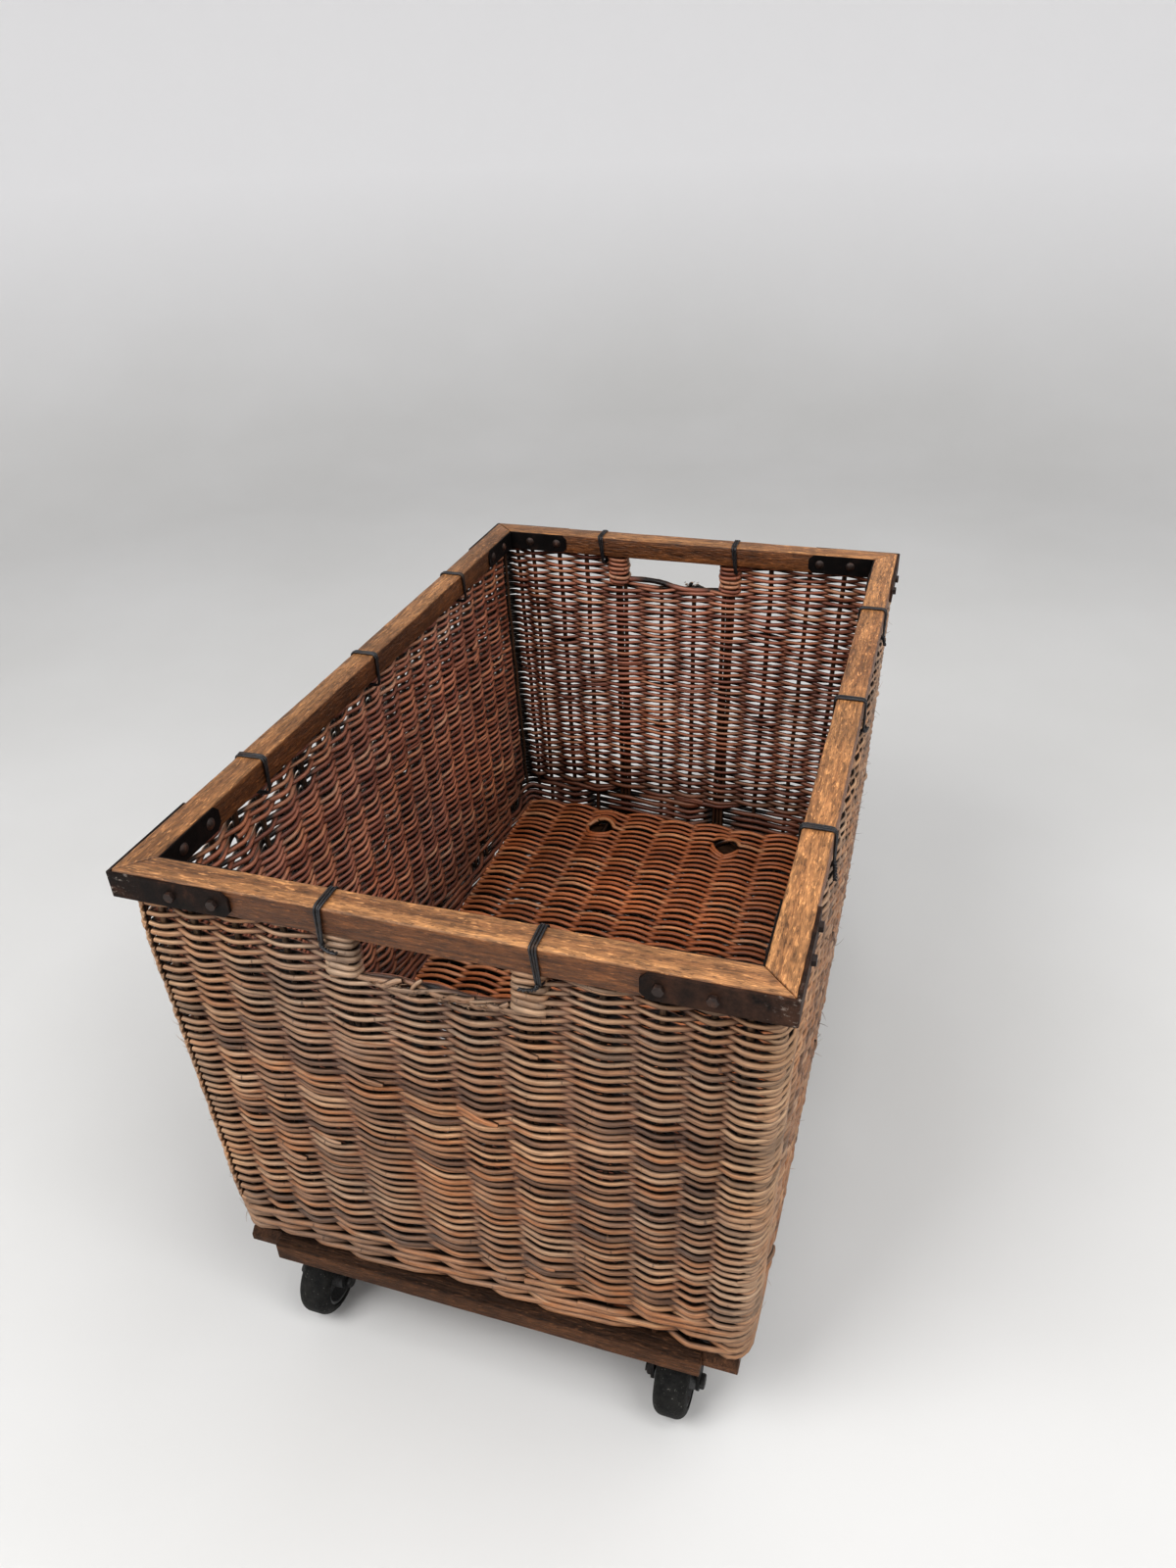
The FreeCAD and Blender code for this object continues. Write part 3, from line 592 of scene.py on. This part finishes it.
FLOOR_STICKS = 9
FLOOR_STEPS = 8
FLOOR_PITCH = 0.0064
FLOOR_ROD = 0.0036
FLOOR_SWING = 0.0061
FLOOR_MIDDLE = (BASE_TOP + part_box("wicker_floor")[1].z) / 2
FLOOR_HOLE_RADIUS = 0.017
FLOOR_HOLE_Y = 0.372
FLOOR_HOLES = ((-0.103, -FLOOR_HOLE_Y), (0.103, -FLOOR_HOLE_Y), (-0.120, FLOOR_HOLE_Y), (0.086, FLOOR_HOLE_Y))
FLOOR_HOLE_ZONE = 0.05


def round_holes(x, y):
    """Rods bent round the floor's holes, closest together beside each hole."""
    reach = FLOOR_HOLE_RADIUS + FLOOR_ROD
    moved = y.copy()
    for hole_x, hole_y in FLOOR_HOLES:
        off = y - hole_y
        way = 1.0 if np.interp(hole_x, x, off) > 0 else -1.0
        clear = np.clip(reach ** 2 - (x - hole_x) ** 2, 0, None)
        fade = np.exp(-np.clip(abs(off) / reach - 1, 0, None) ** 2)
        moved += way * (np.sqrt(off ** 2 + clear) - abs(off)) * fade
        moved += np.where((clear > 0) & (off * way < 0), -2 * off, 0.0)
    return moved


def weave_floor(wood, stick_wood):
    """The floor: rods across the width, arched over and under sticks that run the length."""
    up = (0, 0, 1)
    rods = Strands()
    reach = FLOOR_X + 0.003
    gap = 2 * FLOOR_X / FLOOR_STICKS
    even = np.linspace(-reach, reach, FLOOR_STEPS * FLOOR_STICKS + 1)
    fine = np.concatenate([hole[0] + np.linspace(-0.022, 0.022, 15) for hole in FLOOR_HOLES])
    for row in range(int(2 * FLOOR_Y / FLOOR_PITCH) + 2):
        rng = np.random.default_rng(3000 + row)
        near_hole = abs(abs(row * FLOOR_PITCH - FLOOR_Y) - FLOOR_HOLE_Y) < FLOOR_HOLE_ZONE
        x = np.unique(np.round(np.concatenate([even, fine]), 4)) if near_hole else even
        across = (x + FLOOR_X) / gap - 0.5
        stick = np.clip(np.floor(across).astype(int), -1, FLOOR_STICKS)
        share = smooth(0.0, 1.0, across - stick)
        wave = 0.0022 * np.sin(7 * x + row * 0.031) + 0.0009 * np.sin(31 * x + row * 0.11)
        y = round_holes(x, row * FLOOR_PITCH - FLOOR_Y - 0.001 + wave)
        swings = FLOOR_SWING * rng.uniform(0.88, 1.05, FLOOR_STICKS + 3)
        swings *= np.where((np.arange(FLOOR_STICKS + 3) + row) % 2 == 0, 1, -1)
        rise = swings[stick + 1] + (swings[stick + 2] - swings[stick + 1]) * share
        shift = rng.normal(0, 0.0007, FLOOR_STICKS + 3)
        y = y + shift[stick + 1] + (shift[stick + 2] - shift[stick + 1]) * share
        y = np.clip(y, -FLOOR_Y - 0.002, FLOOR_Y + 0.002)
        tone = rng.random()
        centres = np.stack([x, y, FLOOR_MIDDLE + rise], 1)
        rods.rod(centres, FLOOR_ROD * rng.uniform(0.86, 1.06), up, tone, 5 * tone, outward=rise)
    sticks = Strands()
    for index in range(FLOOR_STICKS):
        rng = np.random.default_rng(3500 + index)
        y = np.linspace(-FLOOR_Y, FLOOR_Y, 40)
        x_line = -FLOOR_X + (index + 0.5) * gap + 0.001 * np.sin(11 * y + index)
        centres = np.stack([x_line, y, np.full(40, FLOOR_MIDDLE)], 1)
        sticks.rod(centres, 0.0028, up, rng.random(), 2 * index, 6)
    return rods.piece("floor_weave", wood), sticks.piece("floor_sticks", stick_wood)


# ------------ wire ties

TIE_WIRE = 0.0011
TIE_CORNER = 0.0050
SIDE_TIES_Y = {"left": (-0.255, -0.014, 0.244), "right": (-0.234, 0.012, 0.250)}
END_TIES_X = {"front": (-0.093, 0.094), "back": (-0.120, 0.074)}


def tie_section(rng):
    """One strand's loop round the batten and through the weave: distances out and heights."""
    inner = -BATTEN - TIE_WIRE * rng.uniform(1.3, 2.0)
    outer = TIE_WIRE * rng.uniform(1.3, 2.0)
    low = BATTEN_BOTTOM - 0.010 + rng.uniform(-0.002, 0.001)
    top = RIM_TOP + TIE_WIRE * rng.uniform(1.2, 1.7)
    loop = []
    for x, z, start in ((outer, top, 0), (inner, top, 90), (inner, low, 180), (outer, low, 270)):
        centre_x = x - math.copysign(TIE_CORNER, x + BATTEN / 2)
        centre_z = z - math.copysign(TIE_CORNER, z - BATTEN_BOTTOM)
        for turn in (0, 30, 60, 90):
            angle = math.radians(start + turn)
            loop.append((centre_x + TIE_CORNER * math.cos(angle), centre_z + TIE_CORNER * math.sin(angle)))
    return np.array(loop)


def rim_tie(strands, origin, out_way, along_way, rng):
    """Three strands of wire round a batten, their ends twisted together below it."""
    origin, out_way, along_way = np.array(origin), np.array(out_way), np.array(along_way)
    up = np.array([0, 0, 1.0])
    lean = rng.uniform(-0.003, 0.003)
    for strand in (-1, 0, 1):
        loop = tie_section(rng)
        rise = (loop[:, 1] - BATTEN_BOTTOM) / BATTEN
        shift = strand * 0.0025 * (0.55 + 0.45 * np.clip(rise, 0, 1)) + lean * rise
        shift = shift + rng.uniform(-0.0004, 0.0004, len(loop))
        centres = origin + loop[:, :1] * out_way + loop[:, 1:] * up + shift[:, None] * along_way
        middle = centres.mean(0)
        strands.rod(centres, TIE_WIRE, centres - middle, rng.random(), 0, 8, closed=True)
    way = rng.choice((-1.0, 1.0))
    length = rng.uniform(0.014, 0.024)
    share = np.linspace(0, 1, 26)
    for half in (0.0, math.pi):
        twist = TURN * 3 * share + half
        drop = -length * share * (0.8 - 0.5 * share)
        spread = TIE_WIRE * 1.05
        centres = (origin + (0.0022 + 0.003 * share + spread * np.cos(twist))[:, None] * out_way
                   + (BATTEN_BOTTOM - 0.006 + drop)[:, None] * up
                   + (way * length * 0.8 * share ** 2 + spread * np.sin(twist))[:, None] * along_way)
        strands.rod(centres, TIE_WIRE, up + 0.1 * along_way, rng.random(), 0, 6)


def rim_ties(metal):
    strands = Strands()
    rng = np.random.default_rng(5)
    for side, way in zip(SIDES, (-1.0, 1.0)):
        for y in SIDE_TIES_Y[side]:
            rim_tie(strands, (way * RIM_X, y, 0), (way, 0, 0), (0, 1, 0), rng)
    for end, way in zip(ENDS, (-1.0, 1.0)):
        for x in END_TIES_X[end]:
            rim_tie(strands, (x, way * RIM_Y, 0), (0, way, 0), (1, 0, 0), rng)
    return strands.piece("rim_tie_wires", metal)


# ------------ boards and battens

# The step between the rings of points that let a board's faces be uneven, and the seed of that unevenness,
# which makes every run give the same boards
BOARD_STEP = 0.012
BOARD_SEED = 4


def cut_all(point, normal, **how):
    """Cut everything in edit mode along a plane."""
    bpy.ops.mesh.select_all(action="SELECT")
    bpy.ops.mesh.bisect(plane_co=point, plane_no=normal, **how)


def worn_board(node, name, rub, material, cuts=()):
    """A board at its node's place: sawn, its edges rubbed round and its faces a little uneven."""
    low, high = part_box(node)
    size = high - low
    along = max(range(3), key=lambda axis: size[axis])
    bpy.ops.object.select_all(action="DESELECT")
    bpy.ops.mesh.primitive_cube_add(size=1.0, location=(low + high) / 2, scale=size)
    board = bpy.context.object
    board.name = name
    board.data.name = name
    board.data.materials.append(material)
    bpy.ops.object.transform_apply(location=True, rotation=True, scale=True)
    bpy.ops.object.mode_set(mode="EDIT")
    for point, normal in cuts:
        cut_all(point, normal, use_fill=True, clear_outer=True)
    bpy.ops.mesh.select_all(action="SELECT")
    bpy.ops.mesh.bevel(offset=rub, segments=3, affect="EDGES")
    straight = Vector([float(axis == along) for axis in range(3)])
    for ring in range(1, round(size[along] / BOARD_STEP)):
        cut_all(low + straight * ring * BOARD_STEP, straight)
    bpy.ops.mesh.select_all(action="SELECT")
    bpy.ops.mesh.normals_make_consistent(inside=False)
    bpy.ops.object.mode_set(mode="OBJECT")
    squeeze = Vector([0.25 if axis == along else 1.0 for axis in range(3)])
    for vertex in board.data.vertices:
        place = vertex.co * squeeze
        slow = noise.noise_vector(place * 45.0) * rub * 0.18
        vertex.co += slow + noise.noise_vector(place * 210.0) * rub * 0.14
    bpy.ops.object.shade_smooth_by_angle(angle=math.radians(40))
    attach(board, "basket")
    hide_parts(node)
    return board


def mitres(end_way, side_way):
    """The two mitre planes of a rim batten, at the end or side that is not zero."""
    cuts = []
    gap = 0.00025
    for way in (-1, 1):
        if end_way:
            corner = Vector((way * (RIM_X - gap), end_way * RIM_Y, RIM_TOP))
            normal = Vector((way, -end_way, 0))
        else:
            corner = Vector((side_way * RIM_X, way * (RIM_Y - gap), RIM_TOP))
            normal = Vector((-side_way, way, 0))
        cuts.append((corner, normal))
    return cuts


# ------------ finishes

class Finish:
    """A material's nodes, with short ways to add and join them."""

    def __init__(self, name, roughness, metallic=0.0, gloss=0.5):
        self.material = bpy.data.materials.new(name)
        self.material.use_nodes = True
        self.tree = self.material.node_tree
        self.shader = self.tree.nodes["Principled BSDF"]
        self.shader.inputs["Roughness"].default_value = roughness
        self.shader.inputs["Metallic"].default_value = metallic
        self.shader.inputs["Specular IOR Level"].default_value = gloss

    def node(self, kind, inputs=None, **settings):
        """A new node with its settings, and a value or a link for each of its inputs."""
        node = self.tree.nodes.new("ShaderNode" + kind)
        for key, value in settings.items():
            setattr(node, key, value)
        for key, value in (inputs or {}).items():
            self.feed(value, node.inputs[key])
        return node

    def join(self, source, target):
        self.tree.links.new(source, target)

    def feed(self, value, socket):
        if isinstance(value, bpy.types.NodeSocket):
            self.join(value, socket)
        elif socket.type == "RGBA":
            socket.default_value = (*value, 1.0)
        else:
            socket.default_value = value

    def attribute(self, name):
        return self.node("Attribute", attribute_name=name).outputs["Fac"]

    def place(self):
        return self.node("TexCoord").outputs["Object"]

    def ramp(self, source, stops):
        node = self.node("ValToRGB", {"Fac": source})
        ramp = node.color_ramp
        while len(ramp.elements) < len(stops):
            ramp.elements.new(0.5)
        for element, (place, colour) in zip(ramp.elements, stops):
            element.position = place
            element.color = (*colour, 1.0)
        return node.outputs["Color"]

    def parts(self, vector):
        """The X, Y and Z of a vector."""
        return self.node("SeparateXYZ", {"Vector": vector}).outputs

    def upward(self, stops):
        """A ramp over how far the surface faces up: 0 straight down, 1 straight up."""
        facing = self.parts(self.node("TexCoord").outputs["Normal"])["Z"]
        return self.ramp(self.level(facing, -1.0, 1.0), stops)

    def level(self, source, low, high, to_low=0.0, to_high=1.0):
        inputs = {"Value": source, "From Min": low, "From Max": high, "To Min": to_low, "To Max": to_high}
        return self.node("MapRange", inputs).outputs["Result"]

    def maths(self, operation, first, second=0.0):
        return self.node("Math", {0: first, 1: second}, operation=operation).outputs["Value"]

    def mix(self, share, first, second, blend="MIX"):
        inputs = {"Factor": share, "A": first, "B": second}
        return self.node("Mix", inputs, data_type="RGBA", blend_type=blend).outputs["Result"]

    def shade(self, colour, by):
        return self.mix(1.0, colour, by, "MULTIPLY")

    def noise(self, vector, scale, detail=4.0, roughness=0.55):
        inputs = {"Vector": vector, "Scale": scale, "Detail": detail, "Roughness": roughness}
        return self.node("TexNoise", inputs).outputs["Fac"]

    def stretched(self, vector, scale):
        return self.node("Mapping", {"Vector": vector, "Scale": scale}).outputs["Vector"]

    def colour(self, colour):
        self.join(colour, self.shader.inputs["Base Color"])

    def bump(self, height, strength, distance):
        node = self.node("Bump", {"Strength": strength, "Distance": distance, "Height": height})
        self.join(node.outputs["Normal"], self.shader.inputs["Normal"])


def willow(name, outside, inside, low=1.0, roughness=0.44):
    """Old willow: each rod its own tone, bleached outside and red-brown inside, with painted shade low down
    there, painted shade where rods cross and on hidden faces, painted shade on undersides and painted light
    (partly pale dust) on tops, streaked along its length, with dark rings at the nodes."""
    finish = Finish(name, roughness)
    tone = finish.attribute("tone")
    outward = finish.attribute("outward")
    uv = finish.node("UVMap", uv_map="RodMap").outputs["UV"]
    place = finish.place()
    blotch = finish.noise(finish.stretched(uv, (14.0, 1.0, 1.0)), 1.0, 3.0, 0.6)
    varied = finish.maths("ADD", tone, finish.level(blotch, 0.25, 0.75, -0.28, 0.28))
    outer = finish.ramp(varied, outside)
    inner = finish.ramp(varied, inside)
    parts = finish.parts(place)
    # painted shade low down on the inside of the walls; low sets how dark it gets
    inner = finish.shade(inner, finish.level(parts["Z"], 0.20, 0.26, low, 1.0))
    far_x = finish.maths("MULTIPLY", finish.maths("ABSOLUTE", parts["X"]), 1.6)
    far_y = finish.maths("ABSOLUTE", parts["Y"])
    corner = finish.level(finish.maths("ADD", far_x, far_y), 0.80, 0.93)
    bleached = finish.maths("MAXIMUM", corner, finish.level(parts["Z"], 0.44, 0.60, 0.0, 0.6))
    outer = finish.mix(finish.maths("MULTIPLY", bleached, 0.6), outer, (0.52, 0.39, 0.265))
    colour = finish.mix(finish.level(outward, -0.003, 0.004), inner, outer)
    # painted shade: darker where a rod's face lies hidden between rods or crosses to the other side, and in
    # the floor's valleys under the sticks
    showing = finish.attribute("showing")
    painted_shade_inside = finish.level(showing, -0.15, 0.65, 0.03, 1.0)
    painted_shade_outside = finish.level(showing, -0.12, 0.62, 0.03, 1.0)
    painted_shade = finish.mix(finish.level(outward, -0.002, 0.002), painted_shade_inside, painted_shade_outside)
    colour = finish.shade(colour, painted_shade)
    streaks = finish.noise(finish.stretched(uv, (46.0, 17.0, 1.0)), 1.0, 6.0, 0.70)
    colour = finish.shade(colour, finish.level(streaks, 0.32, 0.68, 0.50, 1.36))
    patches = finish.noise(place, 8.0, 5.0, 0.65)
    colour = finish.shade(colour, finish.level(patches, 0.3, 0.7, 0.70, 1.20))
    hues = finish.noise(place, 4.5, 4.0, 0.6)
    colour = finish.shade(colour, finish.ramp(hues, [(0.38, (0.92, 0.97, 1.04)), (0.62, (1.05, 0.95, 0.82))]))
    # painted shade on the rods' undersides and painted light on their tops, partly pale dust there
    colour = finish.shade(colour, finish.upward([(0.10, (0.26, 0.18, 0.14)), (0.55, (0.84, 0.80, 0.77)),
                                                 (0.95, (1.22, 1.22, 1.22))]))
    rings = finish.noise(finish.stretched(uv, (230.0, 1.2, 1.0)), 1.0, 1.0, 0.4)
    ringed = finish.level(rings, 0.72, 0.78, 0.0, 0.7)
    colour = finish.mix(ringed, colour, (0.070, 0.036, 0.022))
    finish.colour(colour)
    height = finish.maths("SUBTRACT", streaks, finish.maths("MULTIPLY", ringed, 0.8))
    finish.bump(height, 0.7, 0.0007)
    return finish.material


def old_wood(name, along, light, dark, upright_shading, roughness, gloss):
    """Weathered wood: fibrous grain along an axis, with pale flecks and dark pits. Its upright faces take a
    painted light-and-shade factor against its top, and it is darker towards the left."""
    finish = Finish(name, roughness, 0.0, gloss)
    place = finish.place()

    def grain(across_scale, along_scale, detail, rough):
        scale = [across_scale] * 3
        scale[along] = along_scale
        return finish.noise(finish.stretched(place, scale), 1.0, detail, rough)

    bands = grain(75.0, 4.0, 5.0, 0.6)
    fibres = grain(300.0, 38.0, 4.0, 0.7)
    hairs = grain(1100.0, 110.0, 2.0, 0.6)
    chips = grain(420.0, 95.0, 3.0, 0.55)
    colour = finish.ramp(bands, [(0.32, dark), (0.68, light)])
    colour = finish.shade(colour, finish.level(fibres, 0.35, 0.65, 0.48, 1.30))
    colour = finish.shade(colour, finish.level(hairs, 0.30, 0.70, 0.66, 1.30))
    fleck = tuple(min(1.0, 1.9 * part) for part in light)
    pit = tuple(0.35 * part for part in dark)
    colour = finish.mix(finish.level(chips, 0.60, 0.67, 0.0, 0.55), colour, fleck)
    colour = finish.mix(finish.level(chips, 0.38, 0.33, 0.0, 0.75), colour, pit)
    # painted light and shade: the upright faces set apart from the top by upright_shading
    colour = finish.shade(colour, finish.upward([(0.60, upright_shading), (0.90, (1.0, 1.0, 1.0))]))
    patches = finish.noise(place, 16.0, 6.0, 0.7)
    colour = finish.shade(colour, finish.level(patches, 0.3, 0.7, 0.62, 1.22))
    colour = finish.shade(colour, finish.level(finish.parts(place)["X"], -RIM_X, RIM_X, 0.74, 1.12))
    finish.colour(colour)
    finish.bump(finish.maths("ADD", finish.maths("ADD", fibres, bands), chips), 0.9, 0.0012)
    return finish.material


def old_iron(name, clean, rust, metallic=0.4, roughness=0.5, rusty=(0.52, 0.72), gloss=0.5):
    """Dark iron with rust in patches and fine speckle."""
    finish = Finish(name, roughness, metallic, gloss)
    place = finish.place()
    patches = finish.noise(place, 55.0, 6.0, 0.7)
    speckle = finish.noise(place, 700.0, 3.0, 0.6)
    colour = finish.ramp(patches, [(rusty[0], clean), (rusty[1], rust)])
    colour = finish.shade(colour, finish.level(speckle, 0.3, 0.7, 0.65, 1.3))
    finish.colour(colour)
    dullness = finish.level(patches, 0.35, 0.7, roughness - 0.1, roughness + 0.25)
    finish.join(dullness, finish.shader.inputs["Roughness"])
    finish.bump(finish.maths("ADD", patches, speckle), 0.35, 0.0005)
    return finish.material


def strap_iron(name):
    """Near-black strap iron, rustier towards the right and rubbed bright near the outer corners."""
    finish = Finish(name, 0.60, 0.0, 0.16)
    place = finish.place()
    patches = finish.noise(place, 38.0, 6.0, 0.7)
    speckle = finish.noise(place, 900.0, 3.0, 0.6)
    colour = finish.ramp(patches, [(0.45, (0.010, 0.007, 0.006)), (0.58, (0.020, 0.011, 0.008)),
                                   (0.75, (0.070, 0.030, 0.017))])
    colour = finish.shade(colour, finish.level(speckle, 0.3, 0.7, 0.7, 1.3))
    parts = finish.parts(place)
    to_right = finish.level(parts["X"], 0.17, 0.25)
    rusty = finish.maths("MULTIPLY", to_right, finish.level(patches, 0.35, 0.62))
    colour = finish.mix(rusty, colour, (0.070, 0.034, 0.021))
    far_x = finish.level(finish.maths("ABSOLUTE", parts["X"]), RIM_X - 0.030, RIM_X + 0.003)
    far_y = finish.level(finish.maths("ABSOLUTE", parts["Y"]), RIM_Y - 0.030, RIM_Y + 0.003)
    near_corner = finish.maths("MULTIPLY", far_x, far_y)
    scratches = finish.noise(finish.stretched(place, (130.0, 130.0, 330.0)), 1.0, 5.0, 0.75)
    rubbed = finish.maths("MULTIPLY", near_corner, finish.level(scratches, 0.57, 0.66))
    finish.colour(finish.mix(rubbed, colour, (0.36, 0.31, 0.27)))
    finish.bump(finish.maths("ADD", patches, speckle), 0.3, 0.0005)
    return finish.material


def dusty_rubber(name):
    """Black rubber, scuffed dull, with pale dust caught in specks."""
    finish = Finish(name, 0.68, 0.0, 0.2)
    place = finish.place()
    scuffs = finish.noise(place, 60.0, 6.0, 0.75)
    colour = finish.ramp(scuffs, [(0.38, (0.006, 0.006, 0.006)), (0.72, (0.030, 0.029, 0.026))])
    specks = finish.noise(place, 420.0, 3.0, 0.6)
    colour = finish.mix(finish.level(specks, 0.64, 0.72, 0.0, 0.55), colour, (0.28, 0.27, 0.24))
    finish.colour(colour)
    finish.bump(finish.maths("ADD", scuffs, specks), 0.8, 0.0010)
    return finish.material


# ------------ studio

# The camera's place, its turns about X, Y and Z in degrees, and its lens in millimetres
CAMERA_PLACE = (0.3423, -1.0444, 1.1580)
CAMERA_PITCH = 32.06
CAMERA_HEADING = 18.76
CAMERA_ROLL = -2.18
LENS = 25.5

# The pale backdrop: a flat floor that curves up into a low wall all round
FLOOR_REACH = 2.8
BACKDROP_CURVE = 1.3
BACKDROP_TOP = 3.2

# Soft lamps: place, width and power
LAMPS = {
    "key": ((-1.3, -1.9, 2.9), 1.8, 65.0),
    "fill": ((2.0, -1.2, 2.4), 1.6, 27.0),
    "top": ((1.0, 0.1, 3.1), 2.0, 32.0),
}
LAMPS_AIM = (0, 0, 0.3)
SKY_COLOUR = (0.96, 0.97, 1.0, 1.0)
SKY_STRENGTH = 0.24


def backdrop():
    profile = [(0.02, 0.0), (1.2, 0.0), (2.4, 0.0), (FLOOR_REACH, 0.0)]
    for step in range(1, 13):
        angle = math.radians(90 * step / 12)
        reach = FLOOR_REACH + BACKDROP_CURVE * math.sin(angle)
        profile.append((reach, BACKDROP_CURVE * (1 - math.cos(angle))))
    profile.append((FLOOR_REACH + BACKDROP_CURVE, BACKDROP_TOP))
    around = 96
    points = [(r * math.cos(TURN * i / around), r * math.sin(TURN * i / around), z)
              for r, z in profile for i in range(around)]
    faces = [list(range(around))]
    for ring in range(len(profile) - 1):
        for i in range(around):
            j = (i + 1) % around
            a = ring * around
            faces.append((a + i, a + around + i, a + around + j, a + j))
    mesh = bpy.data.meshes.new("backdrop")
    mesh.from_pydata(points, [], faces)
    mesh.polygons.foreach_set("use_smooth", np.ones(len(mesh.polygons), bool))
    finish = Finish("pale_backdrop", 0.75)
    cloud = finish.noise(finish.place(), 1.3, 3.0)
    floor_colour = finish.ramp(cloud, [(0.3, (0.655, 0.650, 0.635)), (0.7, (0.70, 0.695, 0.685))])
    height = finish.parts(finish.place())["Z"]
    finish.colour(finish.mix(finish.level(height, 0.1, 0.9), floor_colour, (0.92, 0.915, 0.92)))
    mesh.materials.append(finish.material)
    floor = add_object("backdrop", mesh)


def studio():
    backdrop()
    scene = bpy.context.scene
    world = bpy.data.worlds.new("soft_sky")
    scene.world = world
    world.use_nodes = True
    sky = world.node_tree.nodes["Background"].inputs
    sky["Color"].default_value = SKY_COLOUR
    sky["Strength"].default_value = SKY_STRENGTH
    for name, (spot, size, power) in LAMPS.items():
        light = bpy.data.lights.new(name, "AREA")
        light.energy = power
        light.size = size
        lamp = add_object(name, light)
        lamp.location = spot
        lamp.rotation_euler = (Vector(LAMPS_AIM) - Vector(spot)).to_track_quat("-Z", "Y").to_euler()
    lens = bpy.data.cameras.new("camera")
    lens.lens = LENS
    lens.sensor_width = 36.0
    camera = add_object("camera", lens)
    camera.location = CAMERA_PLACE
    heading = Euler((0, 0, math.radians(CAMERA_HEADING))).to_matrix()
    pitch = Euler((math.radians(90 - CAMERA_PITCH), 0, 0)).to_matrix()
    roll = Euler((0, 0, math.radians(CAMERA_ROLL))).to_matrix()
    camera.rotation_euler = (heading @ pitch @ roll).to_euler()
    scene.camera = camera
    scene.view_settings.view_transform = "Standard"
    scene.view_settings.look = "Medium High Contrast"


# ------------ the basket

OUTSIDE = [(0.00, (0.15, 0.080, 0.047)), (0.22, (0.27, 0.146, 0.082)), (0.50, (0.38, 0.208, 0.117)),
           (0.66, (0.36, 0.160, 0.068)), (0.82, (0.42, 0.245, 0.140)), (1.00, (0.46, 0.290, 0.180))]
INSIDE = [(0.0, (0.22, 0.078, 0.050)), (0.5, (0.43, 0.175, 0.112)), (0.8, (0.50, 0.215, 0.125)),
          (1.0, (0.56, 0.300, 0.190))]
FLOOR_TONES = [(0.0, (0.34, 0.112, 0.044)), (0.5, (0.52, 0.188, 0.078)), (0.8, (0.58, 0.232, 0.105)),
               (1.0, (0.60, 0.300, 0.160))]
STAKE_TONES = [(0.0, (0.06, 0.032, 0.020)), (1.0, (0.16, 0.085, 0.050))]


def weave_basket():
    # 0.5 sets the painted shade low down inside the walls
    wall_willow = willow("wall_willow", OUTSIDE, INSIDE, 0.5)
    floor_willow = willow("floor_willow", FLOOR_TONES, FLOOR_TONES)
    stake_willow = willow("stake_willow", STAKE_TONES, STAKE_TONES)
    for wall, piece in weave_walls(wall_willow).items():
        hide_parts("wicker_" + wall)
    for piece in stand_stakes(stake_willow) + [weave_foot(wall_willow)]:
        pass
    for end in ENDS:
        piece = bind_hand_hole(end, wall_willow)
        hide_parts("hand_hole_rod_" + end)
    rods, sticks = weave_floor(floor_willow, stake_willow)
    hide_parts("wicker_floor")


def dress(node, material):
    for slot in node.material_slots:
        slot.material = material


# How far the edges of the boards are rubbed round
BATTEN_RUB = 0.0022
BOARD_RUB = 0.0016
SLAT_RUB = 0.0012

# Woods: light and dark grain and the painted shading of upright faces against the top (painted shade on the
# rim's sides, and painted shade on the base's tops under the basket), then roughness and gloss
RIM_WOOD = ((0.49, 0.240, 0.095), (0.25, 0.108, 0.042), (0.44, 0.35, 0.28), 0.48, 0.5)
BASE_WOOD = ((0.085, 0.040, 0.020), (0.035, 0.016, 0.008), (1.70, 1.55, 1.32), 0.62, 0.2)


def make_woodwork():
    noise.seed_set(BOARD_SEED)
    rim_across = old_wood("rim_wood_across", 0, *RIM_WOOD)
    rim_along = old_wood("rim_wood_along", 1, *RIM_WOOD)
    base_across = old_wood("base_wood_across", 0, *BASE_WOOD)
    base_along = old_wood("base_wood_along", 1, *BASE_WOOD)
    for end, way in zip(ENDS, (-1, 1)):
        batten = worn_board("rim_" + end, end + "_batten", BATTEN_RUB, rim_across, mitres(way, 0))
        board = worn_board("cross_board_" + end, end + "_board", BOARD_RUB, base_across)
    for side, way in zip(SIDES, (-1, 1)):
        batten = worn_board("rim_" + side, side + "_batten", BATTEN_RUB, rim_along, mitres(0, way))
        dress(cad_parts["base_rail_" + side], base_along)
    slat = worn_board("middle_slat", "floor_slat", SLAT_RUB, base_across)


def finish_ironwork():
    ties = rim_ties(old_iron("tie_wire", (0.055, 0.055, 0.058), (0.10, 0.065, 0.045), 0.75, 0.38, (0.5, 0.8)))
    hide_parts("rim_ties")
    finishes = {
        "bracket_bolts": old_iron("bolt_iron", (0.030, 0.018, 0.014), (0.13, 0.055, 0.030), 0.2, 0.45),
        "screws": old_iron("screw_steel", (0.14, 0.13, 0.12), (0.12, 0.07, 0.045), 0.7, 0.5),
        # the inner straps are painted darker than the outer straps, as painted shade on the inside
        "inner_bracket": old_iron("inner_strap_iron", (0.006, 0.005, 0.005), (0.022, 0.012, 0.009), 0.0, 0.55,
                                  gloss=0.15),
        "bracket": strap_iron("strap_iron"),
        "tyre": dusty_rubber("tyre_rubber"),
        "hub": old_iron("hub_iron", (0.13, 0.13, 0.13), (0.08, 0.06, 0.05), 0.5, 0.55),
        "axle": old_iron("axle_steel", (0.030, 0.029, 0.028), (0.055, 0.036, 0.026), 0.4, 0.5, gloss=0.3),
        "caster": old_iron("caster_steel", (0.016, 0.016, 0.016), (0.040, 0.026, 0.020), 0.2, 0.55,
                           gloss=0.25),
    }
    for name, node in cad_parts.items():
        for key, finish in finishes.items():
            if key in name:
                dress(node, finish)
                break


def main():
    weave_basket()
    make_woodwork()
    finish_ironwork()
    studio()


main()
